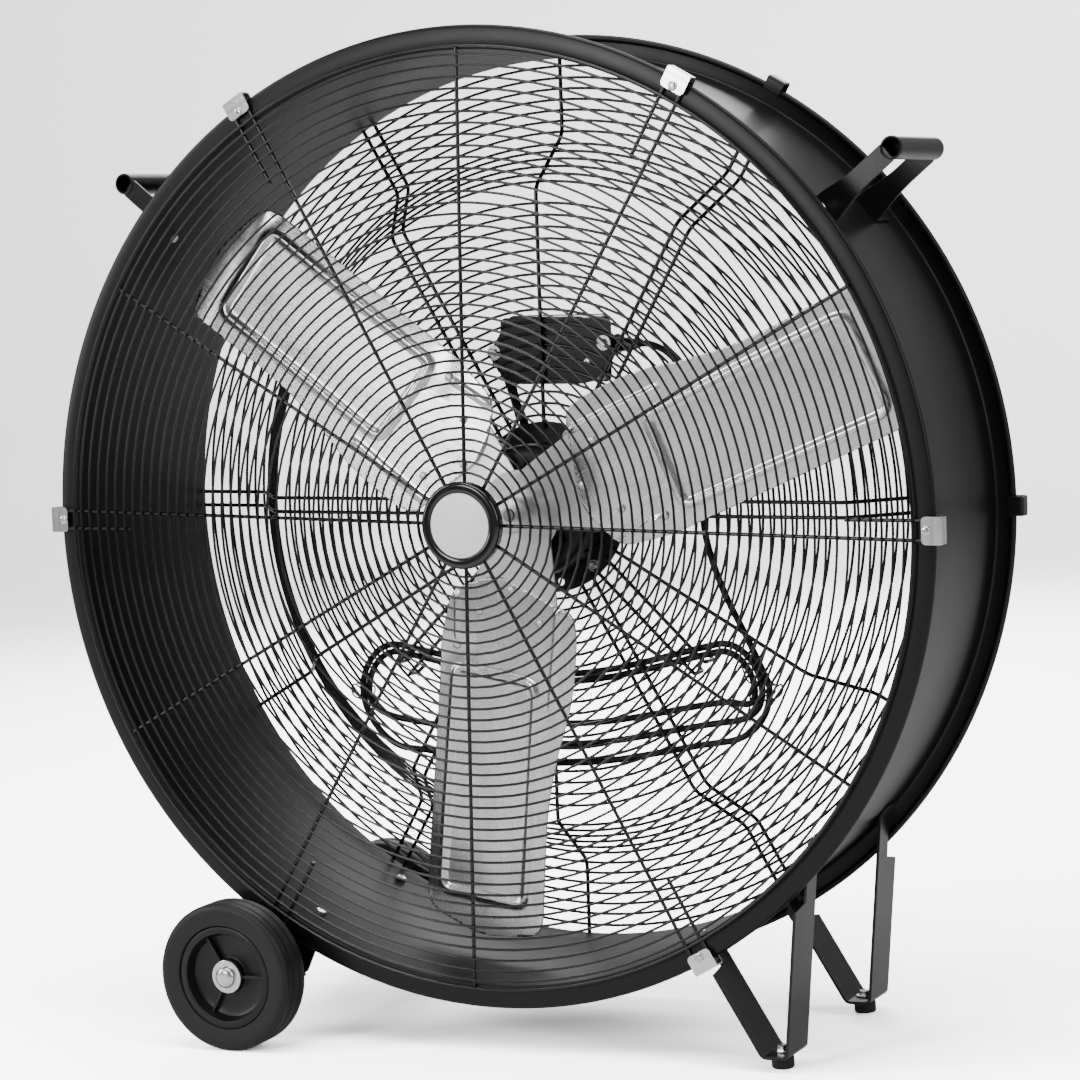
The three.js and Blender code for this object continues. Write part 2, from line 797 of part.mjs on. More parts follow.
// ---------------------------------------------------------------- wheels and their bracket
function tyre() {
  const tread = wheelRadius / Math.cos(Math.PI / wheelSides);
  const half = wheelWidth / 2;
  const groove = 6;
  return revolve([
    [wheelRim, -half + 2],
    [tread - 6, -half],
    [tread, -half + 5],
    [tread, -groove - 1],
    [tread - 1.6, -groove],
    [tread, -groove + 1],
    [tread, groove - 1],
    [tread - 1.6, groove],
    [tread, groove + 1],
    [tread, half - 5],
    [tread - 6, half],
    [wheelRim, half - 2],
  ], wheelSides, 180 / wheelSides);
}

// The wheel centre, with its outer side towards +Y.
function wheelCentre() {
  const rim = wheelRim - seat;
  const edge = wheelWidth / 2 - 3;
  const bossInside = armPlane + plateWork / 2 + 2 * seat - wheelMid;
  const bossFace = bossOutside - wheelMid;
  const bore = (axleRadius + running) / Math.cos(Math.PI / wheelSides);
  const body = revolve([
    [bore, bossInside],
    [wheelBoss - 1, bossInside],
    [wheelBoss, -4],
    [rim - 9, -4],
    [rim - 7.5, -edge],
    [rim, -edge],
    [rim, edge],
    [rim - 7.5, edge],
    [rim - 14, 4],
    [wheelBoss, 4],
    [wheelBoss - 1, bossFace],
    [bore, bossFace],
  ], wheelSides, 180 / wheelSides);
  const ribs = angles(3, 60).map((degrees) => {
    return turned(boxFrom(wheelBoss - 3, rim - 6, 3, bossFace - 1, -1.5, 1.5), degrees);
  });
  return join([body, ...ribs]);
}

function capNut() {
  const face = bossOutside + seat;
  const bore = axleRadius + seat;
  return revolve([
    [0, face + 8.4],
    [6, face + 7.8],
    [10, face + 5],
    [11, face + 1.6],
    [wheelBoss, face + 1.6],
    [wheelBoss, face],
    [bore, face],
    [bore, axleHalf + seat],
    [0, axleHalf + seat],
  ], 12);
}

// A strip on the drum wall with a cheek at each end, cranked out behind the wheels.
function wheelBracket() {
  const foot = wallRadius + seat;
  const [left, right] = bracketAngles;
  const middleAngle = (left + right) / 2;
  const halfWidth = foot * Math.sin(radians((right - left) / 2));
  const half = plateWork / 2;
  const ends = bracketCheek + half;
  const base = boxFrom(foot - 2, foot + plateWork, -ends, ends, -halfWidth, halfWidth);
  const pieces = [turned(base, middleAngle).translate(0, 0, axisHeight)];
  const cheek = [
    onFloor(foot + 1, left),
    onFloor(bracketReach - 8, left),
    onFloor(bracketReach, left + 1.4),
    onFloor(bracketReach, right),
    onFloor(foot + 1, right),
  ];
  const cheekX = onFloor(bracketReach, right)[0];
  for (const side of [-1, 1]) {
    const plane = side * bracketCheek;
    pieces.push(plateAcross(cheek, plane - half, plane + half));
    const middle = [
      [cheekX - 2, plane],
      [cheekX - 16, plane],
      [wheelX + 18, side * armPlane],
      [wheelX - armHeight / 2, side * armPlane],
    ];
    pieces.push(barAlong(strip(middle, plateWork), armHeight).translate(0, 0, wheelRadius));
  }
  const bore = rod(axleRadius + seat, -armPlane - 9, armPlane + 9, 12);
  const wall = [[0, -drumEnd], [foot, -drumEnd], [foot, drumEnd], [0, drumEnd]];
  const drumRoom = revolve(wall, drumSides, -drumTurn).translate(0, 0, axisHeight);
  return cut(join(pieces), [bore.translate(wheelX, 0, wheelRadius), drumRoom]);
}

// ---------------------------------------------------------------- cord
const cordPlane = rearMiddleFace + tieSheet + 3 * seat + cordRadius;

// A path that keeps the points it is given as its own steps.
class PointPath extends THREE.Curve {
  constructor(points) {
    super();
    this.points = points;
  }

  getPoint(t, target = new THREE.Vector3()) {
    const place = Math.min(Math.max(t, 0), 1) * (this.points.length - 1);
    const step = Math.min(Math.floor(place), this.points.length - 2);
    return target.lerpVectors(this.points[step], this.points[step + 1], place - step);
  }

  getPointAt(u, target) {
    return this.getPoint(u, target);
  }

  getTangentAt(u, target) {
    return this.getTangent(u, target);
  }
}

function cordTube(points, radius, sides) {
  const section = new THREE.Shape();
  for (let k = 0; k < sides; k += 1) {
    const [x, y] = polar(radius, (360 * k) / sides);
    if (k === 0) section.moveTo(x, y);
    else section.lineTo(x, y);
  }
  const options = { steps: points.length - 1, bevelEnabled: false, extrudePath: new PointPath(points) };
  return new THREE.ExtrudeGeometry(section, options);
}

// The hank as one path: round ends of 8 steps, runs of 4 steps, spiralling inwards.
function hankPoints() {
  const perTurn = 24;
  const runHalf = hankHalfLength - hankHalfHeight - cordRadius;
  const points = [];
  for (let k = 0; k <= Math.round(hankTurns * perTurn); k += 1) {
    const turn = k / perTurn;
    const step = k % perTurn;
    const inward = hankPitch * turn;
    const radius = hankHalfHeight - inward;
    let x = 0;
    let z = 0;
    if (step <= 4 || step >= 20) {
      const degrees = (step <= 4 ? -step : perTurn - step) * 22.5;
      [x, z] = polar(radius, degrees);
      x += runHalf;
    } else if (step >= 8 && step <= 16) {
      [x, z] = polar(radius, 270 - (step - 8) * 22.5);
      x -= runHalf;
    } else {
      const share = step < 8 ? (step - 4) / 4 : (20 - step) / 4;
      x = runHalf * (1 - 2 * share);
      z = step < 8 ? -radius : radius;
    }
    const low = Math.max(0, -z / radius) ** 2;
    const high = Math.max(0, z / radius) ** 2;
    const outwards = Math.min(1, Math.abs(x) / runHalf);
    const left = Math.min(1, Math.max(0, -x / runHalf));
    z += hankSlack * turn * low;
    z += hankLift * high * outwards ** 2;
    z -= hankDroop * (1.5 - turn) * low * left;
    z -= (hankSag * (1 + Math.cos((Math.PI * x) / hankHalfLength))) / 2;
    const rise = THREE.MathUtils.smoothstep(turn, hankTurns - 0.2, hankTurns);
    const y = cordPlane + plugClimb * rise;
    points.push(new THREE.Vector3(hankMiddle + x, y, hankEndHeight + z));
  }
  const first = points[0].clone();
  first.z += 2 * cordRadius;
  const last = points[points.length - 1].clone();
  last.x -= 2 * cordRadius;
  return [first, ...points, last];
}

// Least distance between the surfaces of strands that are not neighbours along the cord.
function leastGap(points, diameter) {
  const apart = 6;
  let least = Infinity;
  for (let i = 0; i < points.length - 1; i += 1) {
    for (let j = i + apart; j < points.length - 1; j += 1) {
      for (const share of [0, 0.25, 0.5, 0.75, 1]) {
        const point = points[i].clone().lerp(points[i + 1], share);
        const line = new THREE.Line3(points[j], points[j + 1]);
        const nearest = line.closestPointToPoint(point, true, new THREE.Vector3());
        least = Math.min(least, nearest.distanceTo(point));
      }
    }
  }
  return least - diameter;
}

const hank = hankPoints();
console.log(`cord_hank: least gap to itself ${leastGap(hank, 2 * cordRadius).toFixed(2)} mm`);

const reliefStart = boxHalfWidth + seat;
const reliefPlace = [boxBack - 26, 165];
const cordExit = fromDrum(reliefStart + reliefLength + seat, ...reliefPlace);
const cordExitStraight = fromDrum(reliefStart + reliefLength + 3 * cordRadius, ...reliefPlace);

function strainRelief() {
  const cone = revolve([
    [0, 0],
    [reliefRadius + 3, 0],
    [reliefRadius + 3, 3],
    [reliefRadius, 4],
    [cordRadius + 1.2, reliefLength],
    [0, reliefLength],
  ], 12);
  const [y, z] = reliefPlace;
  return cone.rotateZ(-Math.PI / 2).translate(reliefStart, y, z);
}

// The free lead from the control box down to the hank, as points chosen by hand.
function cordLead() {
  const end = hank[0].clone();
  end.z += seat;
  const endStraight = end.clone();
  endStraight.z += 2 * cordRadius;
  const route = new THREE.CatmullRomCurve3([
    cordExit,
    cordExitStraight,
    new THREE.Vector3(134, 88, 677),
    new THREE.Vector3(157, 84, 645),
    new THREE.Vector3(166, 78, 595),
    new THREE.Vector3(168, 71, 540),
    new THREE.Vector3(172, 67, 490),
    new THREE.Vector3(188, cordPlane, 437),
    new THREE.Vector3(210, cordPlane, 390),
    endStraight,
    end,
  ], false, 'centripetal');
  const points = route.getSpacedPoints(20);
  points.splice(1, 0, cordExit.clone().lerp(cordExitStraight, 0.6));
  points.splice(points.length - 1, 0, end.clone().lerp(endStraight, 0.6));
  return cordTube(points, cordRadius, 8);
}

// A band round the strands at one end of the hank.
function cordTie(firstTurn, lastTurn, middle) {
  const [near, far] = [firstTurn, lastTurn].map((turn) => middle - Math.sign(middle) * hankPitch * turn);
  const reach = cordRadius + 2 * seat;
  const low = Math.min(near, far) - reach + hankMiddle;
  const high = Math.max(near, far) + reach + hankMiddle;
  const band = roundedBox(
    low - tieSheet,
    cordPlane - reach - tieSheet,
    high + tieSheet,
    cordPlane + reach + tieSheet,
    2,
  );
  band.holes.push(roundedBox(low, cordPlane - reach, high, cordPlane + reach, 1));
  const options = { depth: tieWidth, bevelEnabled: false, curveSegments: 2 };
  const geometry = new THREE.ExtrudeGeometry(band, options);
  return geometry.translate(0, 0, hankEndHeight - tieWidth / 2);
}

// A moulded mains plug with two flat blades and a round earth pin.
function plug() {
  const body = revolve([
    [0, 0],
    [cordRadius + 1.5, 0],
    [cordRadius + 3, 16],
    [plugRadius - 3, 18],
    [plugRadius, 23],
    [plugRadius, 38],
    [plugRadius - 1.5, 42],
    [0, 42],
  ], 12);
  const pins = [
    boxFrom(-7.1, -5.6, 41, 59, -3.2, 3.2),
    boxFrom(5.6, 7.1, 41, 59, -3.2, 3.2),
    rod(2.4, 41, 61, 8).translate(0, 0, -8),
  ];
  const end = hank[hank.length - 1];
  return join([body, ...pins]).rotateZ(Math.PI / 2).translate(end.x - seat, end.y, end.z);
}

// The short leads from the control box to the motor.
function motorLead() {
  const [endX, endZ] = polar(bodyRadius + seat, leadAngle);
  const [nearX, nearZ] = polar(bodyRadius + 10, leadAngle);
  const leadPlane = boxFront + leadRadius + 6;
  const route = new THREE.CatmullRomCurve3([
    new THREE.Vector3(leadStart, leadPlane, boxInner - seat),
    new THREE.Vector3(leadStart, leadPlane, boxInner - 9),
    new THREE.Vector3(-46, leadPlane, 102),
    new THREE.Vector3(-31, leadPlane, 84),
    new THREE.Vector3(nearX, leadPlane, nearZ),
    new THREE.Vector3(endX, leadPlane, endZ),
  ]);
  return cordTube(route.getPoints(10), leadRadius, 8);
}

// ---------------------------------------------------------------- assembly
const fan = new THREE.Group();

// Everything that is fixed to the drum turns with it.
const drumGroup = new THREE.Group();
drumGroup.position.z = axisHeight;
drumGroup.rotation.y = radians(drumTurn);
fan.add(drumGroup);

drumGroup.add(piece('drum_shell', drumShell(), blackPaint));
drumGroup.add(piece('front_guard', frontGuard(), blackWire));
drumGroup.add(piece('rear_guard', rearGuard(), blackWire));
drumGroup.add(piece('guard_cap', guardCap(), blackPlastic));
drumGroup.add(piece('cap_disc', capDisc(), whitePlastic));

angles(clipCount).forEach((degrees, k) => {
  const front = piece(`front_clip_${k + 1}`, guardClip(-1, frontClipWidth), zinc);
  const rear = piece(`rear_clip_${k + 1}`, guardClip(1, rearClipWidth), blackPaint);
  front.rotation.y = radians(-degrees);
  rear.rotation.y = radians(-degrees);
  drumGroup.add(front, rear);
});

drumGroup.add(piece('motor_plate', motorPlate(), blackPaint));
drumGroup.add(piece('motor_front_bell', frontBell(), blackPaint));
drumGroup.add(piece('motor_rear_shell', rearShell(), blackPaint));
drumGroup.add(piece('motor_stator', stator(), copper));
for (const [name, start] of [['front_bearing', frontBearingStart], ['rear_bearing', rearBearingStart]]) {
  const race = ringPiece(shaftBore, bearingRadius, start, start + bearingWidth, motorSides);
  drumGroup.add(piece(name, race, steel));
}

const coreRadius = statorBore * Math.cos(Math.PI / motorSides) - rotorAirGap;
const core = ringPiece(shaftBore, coreRadius, statorFront + 2, statorFront + statorLength - 2, motorSides);
drumGroup.add(piece('rotor_core', core, steel));
const shaftRear = rearBearingStart + bearingWidth;
drumGroup.add(piece('motor_shaft', rod(shaftRadius, shaftFront, shaftRear, motorSides), steel));
const spider = piece('hub_spider', hubSpider(), aluminium);
spider.rotation.y = radians(-drumTurn);
drumGroup.add(spider);
angles(bladeCount).forEach((degrees, k) => {
  const fanBlade = piece(`blade_${k + 1}`, blade(), aluminium);
  fanBlade.rotation.y = radians(-degrees - drumTurn);
  drumGroup.add(fanBlade);
});

drumGroup.add(piece('control_box', controlBox(), blackPaint));
drumGroup.add(piece('speed_knob', speedKnob(), blackPlastic));
drumGroup.add(piece('strain_relief', strainRelief(), blackPlastic));
drumGroup.add(piece('motor_lead', motorLead(), blackPlastic));

for (const [name, side] of [['handle_right', -1], ['handle_left', 1]]) {
  const grip = piece(name, handle(), blackPaint);
  grip.rotation.y = radians(-(90 + side * handleAngle));
  drumGroup.add(grip);
}

// The legs and wheels stand level on the floor.
for (const [end, side] of [['front', -1], ['rear', 1]]) {
  fan.add(piece(`leg_${end}`, leg(side), blackPaint));
  fan.add(piece(`foot_${end}`, rubberFoot(side), rubber));
  const wheel = new THREE.Group();
  wheel.position.set(wheelX, side * wheelMid, wheelRadius);
  if (side < 0) wheel.rotation.z = Math.PI;
  wheel.add(piece(`tyre_${end}`, tyre(), rubber));
  wheel.add(piece(`wheel_${end}`, wheelCentre(), blackPlastic));
  fan.add(wheel);
  const nut = piece(`cap_nut_${end}`, capNut(), zinc);
  nut.position.set(wheelX, 0, wheelRadius);
  if (side < 0) nut.rotation.z = Math.PI;
  fan.add(nut);
}
fan.add(piece('wheel_bracket', wheelBracket(), blackPaint));
const axle = rod(axleRadius, -axleHalf, axleHalf, 12).translate(wheelX, 0, wheelRadius);
fan.add(piece('wheel_axle', axle, steel));

fan.add(piece('cord_lead', cordLead(), blackPlastic));
fan.add(piece('cord_hank', cordTube(hank, cordRadius, 6), blackPlastic));
fan.add(piece('plug', plug(), blackPlastic));
const hankEnd = hankHalfLength - cordRadius;
fan.add(piece('cord_tie_right', cordTie(0, 2, hankEnd), blackPlastic));
fan.add(piece('cord_tie_left', cordTie(0.5, 1.5, -hankEnd), blackPlastic));

export default fan;
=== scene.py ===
"""Looks of a wheeled drum fan, built around its fixed frame.

Sizes inside the mesh code are millimetres; objects are made in metres. The drum and all
that is fixed to it stand a little turned from upright, as the frame has it.
"""

import math

import bmesh
import bpy
from bpy.props import FloatProperty, FloatVectorProperty, IntProperty, PointerProperty
from mathutils import Matrix, Vector


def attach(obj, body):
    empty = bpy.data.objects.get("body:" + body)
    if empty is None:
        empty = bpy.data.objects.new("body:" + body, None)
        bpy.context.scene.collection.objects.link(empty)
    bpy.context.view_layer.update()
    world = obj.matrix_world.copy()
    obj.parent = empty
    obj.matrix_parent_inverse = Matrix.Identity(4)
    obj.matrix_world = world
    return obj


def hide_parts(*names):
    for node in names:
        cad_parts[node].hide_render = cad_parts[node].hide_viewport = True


bl_info = {
    "name": "Drum fan",
    "version": (1, 0, 0),
    "blender": (4, 5, 0),
    "location": "View3D > Sidebar > Drum Fan",
    "description": "Builds the looks of a wheeled drum fan around its fixed frame",
    "category": "Object",
}

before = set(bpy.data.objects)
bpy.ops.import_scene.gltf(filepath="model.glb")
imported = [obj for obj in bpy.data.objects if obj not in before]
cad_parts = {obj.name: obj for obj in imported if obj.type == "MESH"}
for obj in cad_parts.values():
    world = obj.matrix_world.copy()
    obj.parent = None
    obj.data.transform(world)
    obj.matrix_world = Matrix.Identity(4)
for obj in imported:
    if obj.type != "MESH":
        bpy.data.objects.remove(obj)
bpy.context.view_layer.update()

MM = 0.001
AXIS_HEIGHT = 526.8
DRUM_TURN = math.radians(2)
LEVEL = Matrix.Translation((0, 0, AXIS_HEIGHT * MM))
DRUM = LEVEL @ Matrix.Rotation(DRUM_TURN, 4, "Y")
WALL_INSIDE = 459.3
WALL_SEAT = 461.6  # underside of what is bolted on the drum
LONG_SPOKE = 478.8
SHORT_SPOKE = 463.4
SPOKE_PLANE = 121.0
REAR_PLANE = 56.0
CORD_PLANE = 65.7
WHEEL_X = -283.7
WHEEL_Y = 160.9
WHEEL_RADIUS = 76
BRACKET_Y = 137  # middle of the bracket's sheet beside each wheel
ENDS = (("front", -1), ("rear", 1))

# Turns that point the +Y side of a piece to the front, out of or into the drum, or up
FORWARD = Matrix.Rotation(math.pi, 4, "Z")
OUTWARD = Matrix.Rotation(-math.pi / 2, 4, "Z")
INWARD = OUTWARD.inverted()
UPWARD = Matrix.Rotation(math.pi / 2, 4, "X")


# ------------------------------------------------------------------ user values
def length_property(name, description, default, least=0.5):
    """A length from millimetres."""
    return FloatProperty(
        name=name, description=description, default=default * MM, min=least * MM,
        subtype="DISTANCE", unit="LENGTH")


def count_property(name, description, default, most):
    return IntProperty(name=name, description=description, default=default, min=3, max=most)


def colour_property(name, description, default):
    return FloatVectorProperty(
        name=name, description=description, default=default, size=3,
        min=0.0, max=1.0, subtype="COLOR")


class DrumFanSizes(bpy.types.PropertyGroup):
    """Sizes of the small pieces that the frame leaves open"""

    ring_wire: length_property("Ring wire", "Thickness of the front guard's rings", 2.6)
    spoke_wire: length_property("Spoke wire", "Thickness of the front guard's spokes", 3.8)
    rear_ring_wire: length_property("Rear ring wire", "Thickness of the rear guard's rings", 3.0)
    rear_spoke_wire: length_property(
        "Rear spoke wire", "Thickness of the rear guard's spokes", 4.2)
    front_rings: count_property(
        "Front rings", "Number of evenly spaced rings in the front guard", 37, 60)
    rear_rings: count_property(
        "Rear rings", "Number of rings in the flat middle of the rear guard", 19, 40)
    rivet_radius: length_property(
        "Rivet radius", "Radius of the rivet heads on the blades", 4.6, 1)
    bolt_across: length_property(
        "Bolt head", "Width across flats of the bolts of handles, legs and bracket", 10, 2)
    cord_diameter: length_property("Cord", "Outside diameter of the mains cord", 7, 2)


class DrumFanColours(bpy.types.PropertyGroup):
    """Colours of the finishes"""

    paint: colour_property("Paint", "Powder coat of the drum", (0.005, 0.0051, 0.0057))
    wire: colour_property("Wire", "Coating of the wire guards", (0.003, 0.003, 0.0034))
    zinc: colour_property("Zinc", "Plated clips and fasteners", (0.66, 0.67, 0.68))
    aluminium: colour_property("Aluminium", "Blades and spider", (0.74, 0.745, 0.76))
    plastic: colour_property("Plastic", "Moulded black parts", (0.0065, 0.0065, 0.007))
    tyre: colour_property("Tyre", "Solid rubber tyres", (0.008, 0.008, 0.0083))
    cord: colour_property("Cord", "Sheath of the mains cord", (0.005, 0.005, 0.0053))
    disc: colour_property("Disc", "Plain disc of the guard cap", (0.85, 0.85, 0.84))
    copper: colour_property("Copper", "Motor winding", (0.45, 0.2, 0.08))
    floor: colour_property("Floor", "Studio floor and backdrop", (0.85, 0.85, 0.85))


def sizes():
    return bpy.context.scene.drum_fan_sizes


def colours():
    return bpy.context.scene.drum_fan_colours


# ------------------------------------------------------------------ mesh code
def polar(radius, degrees):
    angle = math.radians(degrees)
    return radius * math.cos(angle), radius * math.sin(angle)


def arc(x, y, radius, angles):
    """Points of a round edge at the angles given in degrees."""
    return [(x + out, y + along) for out, along in (polar(radius, angle) for angle in angles)]


def about(degrees):
    """Turns what is built on the +X side to its angle round the Y axis."""
    return Matrix.Rotation(math.radians(-degrees), 4, "Y")


def at_mm(x, y, z, turn=None):
    """A place inside a shape, in millimetres."""
    place = Matrix.Translation((x, y, z))
    return place @ turn if turn else place


def at(x, y, z, turn=None):
    """A place of an object, in metres from millimetres."""
    return at_mm(x * MM, y * MM, z * MM, turn)


def in_mm(matrix):
    """The same place with its shift in millimetres."""
    moved = matrix.copy()
    moved.translation = matrix.translation / MM
    return moved


class Shape:
    """Collects points in millimetres and faces for one object."""

    def __init__(self):
        self.points = []
        self.faces = []

    def add(self, part, place=None):
        points, faces = part
        start = len(self.points)
        for point in points:
            point = Vector(point)
            self.points.append(place @ point if place else point)
        self.faces += [[start + i for i in face] for face in faces]
        return self

    def take(self, other, place=None):
        return self.add((other.points, other.faces), place)


def lathe(profile, segments=64):
    """A closed profile of (radius, y) turned about Y."""
    points = []
    faces = []
    count = len(profile)
    for k in range(segments):
        angle = 2 * math.pi * k / segments
        points += [(r * math.cos(angle), y, r * math.sin(angle)) for r, y in profile]
    for k in range(segments):
        here = k * count
        after = (k + 1) % segments * count
        for i in range(count):
            j = (i + 1) % count
            faces.append((here + i, here + j, after + j, after + i))
    return points, faces


def between(first, second):
    """A closed solid between two outlines with as many points."""
    count = len(first)
    faces = [tuple(range(count)), tuple(range(2 * count - 1, count - 1, -1))]
    faces += [(i, (i + 1) % count, count + (i + 1) % count, count + i) for i in range(count)]
    return first + second, faces


def turned(profile, segments):
    """A shape that is one turned profile."""
    return Shape().add(lathe(profile, segments))


def mirrored(edge):
    """A profile from its half on the +Y side."""
    return edge + [(radius, -y) for radius, y in reversed(edge)]


def prism(outline, low, high):
    """An outline in X and Z, from low to high along Y."""
    return between([(x, low, z) for x, z in outline], [(x, high, z) for x, z in outline])


def bar(outline, width):
    """An outline in X and Y, as wide as given along Z."""
    return between([(x, y, -width / 2) for x, y in outline],
                   [(x, y, width / 2) for x, y in outline])


def block(x0, x1, y0, y1, z0, z1):
    return prism([(x0, z0), (x1, z0), (x1, z1), (x0, z1)], y0, y1)


def rod(radius, low, high, segments=32, edge=0.0):
    """A round bar along Y with its end edges eased."""
    return lathe([(0, low), (radius - edge, low), (radius, low + edge), (radius, high - edge),
                  (radius - edge, high), (0, high)], segments)


def tube(path, radius, sides=10):
    """A round section swept along a path; radius may be one number or one per point."""
    path = [Vector(point) for point in path]
    count = len(path)
    radii = radius if isinstance(radius, (list, tuple)) else [radius] * count
    points = []
    faces = []
    normal = None
    for i, point in enumerate(path):
        tangent = (path[min(i + 1, count - 1)] - path[max(i - 1, 0)]).normalized()
        if normal is None:
            normal = tangent.orthogonal()
        normal = (normal - tangent * normal.dot(tangent)).normalized()
        side = tangent.cross(normal)
        for k in range(sides):
            out, across = polar(1, 360 * k / sides)
            points.append(point + (normal * out + side * across) * radii[i])
    for i in range(count - 1):
        here = i * sides
        after = here + sides
        for k in range(sides):
            n = (k + 1) % sides
            faces.append((here + k, here + n, after + n, after + k))
    faces.append(tuple(range(sides - 1, -1, -1)))
    faces.append(tuple((count - 1) * sides + k for k in range(sides)))
    return points, faces


def wire_ring(radius, y, wire, sides=8):
    """A round ring of wire about Y."""
    section = [polar(wire / 2, 360 * k / sides) for k in range(sides)]
    return lathe([(radius + out, y + along) for out, along in section], max(32, int(radius / 3)))


def bend(start, corner, end, steps):
    """Points of a curve that leaves one line and joins another round their corner."""
    shares = [k / steps for k in range(steps + 1)]
    return [start * (1 - t) ** 2 + corner * 2 * t * (1 - t) + end * t * t for t in shares]


def rounded(corners, steps=6):
    """An outline with round corners; each corner is (x, z, radius)."""
    outline = []
    count = len(corners)
    for i, (x, z, radius) in enumerate(corners):
        if radius == 0:
            outline.append((x, z))
            continue
        corner = Vector((x, z))
        before = corner + (Vector(corners[i - 1][:2]) - corner).normalized() * radius
        after = corner + (Vector(corners[(i + 1) % count][:2]) - corner).normalized() * radius
        outline += [tuple(point) for point in bend(before, corner, after, steps)]
    return outline


def eased(path, radius, steps=6):
    """A path in any dimension with its inner corners rounded."""
    path = [Vector(point) for point in path]
    smooth = [path[0]]
    for before, corner, after in zip(path, path[1:], path[2:]):
        start = corner + (before - corner).normalized() * radius
        end = corner + (after - corner).normalized() * radius
        smooth += bend(start, corner, end, steps)
    return smooth + [path[-1]]


def strip(middle, thickness):
    """The outline of a bent strip of even thickness along a middle line."""
    points = [Vector(point) for point in middle]
    left = []
    right = []
    for i, point in enumerate(points):
        before = (point - points[i - 1]).normalized() if i else None
        after = (points[i + 1] - point).normalized() if i < len(points) - 1 else None
        first = before or after
        last = after or before
        normal = Vector((-first.y - last.y, first.x + last.x)).normalized()
        reach = thickness / 2 / normal.dot(Vector((-first.y, first.x)))
        left.append(tuple(point + normal * reach))
        right.append(tuple(point - normal * reach))
    return left + right[::-1]


def finish_mesh(mesh, smooth):
    """Joins doubled points and shades a mesh smooth up to an angle in degrees."""
    work = bmesh.new()
    work.from_mesh(mesh)
    bmesh.ops.remove_doubles(work, verts=work.verts, dist=1e-6)
    bmesh.ops.dissolve_degenerate(work, edges=work.edges, dist=1e-7)
    bmesh.ops.recalc_face_normals(work, faces=work.faces)
    work.to_mesh(mesh)
    work.free()
    mesh.shade_smooth()
    mesh.set_sharp_from_angle(angle=math.radians(smooth))


def to_mesh(shape, name, smooth=35):
    mesh = bpy.data.meshes.new(name)
    mesh.from_pydata([point * MM for point in shape.points], [], shape.faces)
    finish_mesh(mesh, smooth)
    return mesh


# The frame's slot of each finish whose name isn't the slot's own
SLOTS = {"sheet_paint": "drum_paint", "motor_paint": "drum_paint", "spider": "aluminium",
         "gloss_plastic": "black_plastic"}


def new_object(name, data):
    thing = bpy.data.objects.new(name, data)
    bpy.context.scene.collection.objects.link(thing)
    return thing


def place_piece(name, mesh, key, body="root", place=None, bevel=0.0, replaces=(), slot=None):
    """Makes one object from a mesh, with its finish, its body and the nodes it stands for."""
    piece = new_object(name, mesh)
    piece.matrix_world = place or Matrix()
    mesh.materials.append(finish(key))
    if bevel:
        modifier = piece.modifiers.new("eased edges", "BEVEL")
        modifier.width = bevel * MM
        modifier.segments = 2
        modifier.limit_method = "ANGLE"
        modifier.angle_limit = math.radians(40)
    if replaces:
        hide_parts(*replaces)
    slot = slot or SLOTS.get(key, key)
    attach(piece, body)
    return piece


def build(shape, name, key, *where, smooth=35, **more):
    """One object from a shape, placed as place_piece does."""
    return place_piece(name, to_mesh(shape, name, smooth), key, *where, **more)


def turned_in(shape):
    """A shape that spans the drum, turned with it in its own mesh, so its box stays tight."""
    return Shape().take(shape, in_mm(DRUM))


def carved(shape, cutters, name, smooth=35):
    """The mesh of a shape with others taken out of it."""
    target = new_object(name, to_mesh(shape, name, smooth))
    tool = new_object(name + "_tool", to_mesh(cutters, name + "_tool", smooth))
    modifier = target.modifiers.new("cut", "BOOLEAN")
    modifier.operation = "DIFFERENCE"
    modifier.solver = "EXACT"
    modifier.use_self = True
    modifier.object = tool
    bpy.context.view_layer.update()
    graph = bpy.context.evaluated_depsgraph_get()
    mesh = bpy.data.meshes.new_from_object(target.evaluated_get(graph))
    mesh.name = name
    for thing in (target, tool):
        bpy.data.objects.remove(thing)
    finish_mesh(mesh, smooth)
    if not mesh.polygons:
        raise RuntimeError(f"nothing is left of {name}")
    return mesh


# ------------------------------------------------------------------ fasteners
def hexagon_bolt(across, height, washer=0.0, sheet=1.2):
    """A hexagon head on its washer, its seat at y = 0 and its top towards +Y."""
    shape = Shape()
    base = 0.0
    if washer:
        shape.add(lathe([(0, 0), (washer - 0.3, 0), (washer, 0.3), (washer, sheet - 0.3),
                         (washer - 0.3, sheet), (0, sheet)], 28))
        base = sheet
    corner = across / 2 / math.cos(math.pi / 6)
    shape.add(lathe([(0, base), (corner, base), (corner, base + height - 0.9),
                     (corner * 0.86, base + height), (corner * 0.6, base + height),
                     (corner * 0.52, base + height - 0.4), (0, base + height - 0.4)], 6))
    return shape


def wide_bolt(height, washer=0.0, sheet=1.2):
    """A hexagon head of the width the user gives."""
    return hexagon_bolt(sizes().bolt_across / MM, height, washer, sheet)


def pan_screw(radius, height):
    """A pan head with a cross recess, its seat at y = 0 and its top towards +Y."""
    profile = [(0, 0), (radius, 0), (radius, height * 0.35), (radius * 0.9, height * 0.7),
               (radius * 0.68, height * 0.94), (0, height)]
    recess = Shape()
    arm = radius * 0.56
    for turn in (0, 90):
        recess.add(block(-arm, arm, height * 0.42, height + 1, -0.55, 0.55), about(-turn - 20))
    mesh = carved(turned(profile, 28), recess, "pan_screw")
    shape = Shape()
    shape.points = [vertex.co / MM for vertex in mesh.vertices]
    shape.faces = [list(face.vertices) for face in mesh.polygons]
    bpy.data.meshes.remove(mesh)
    return shape


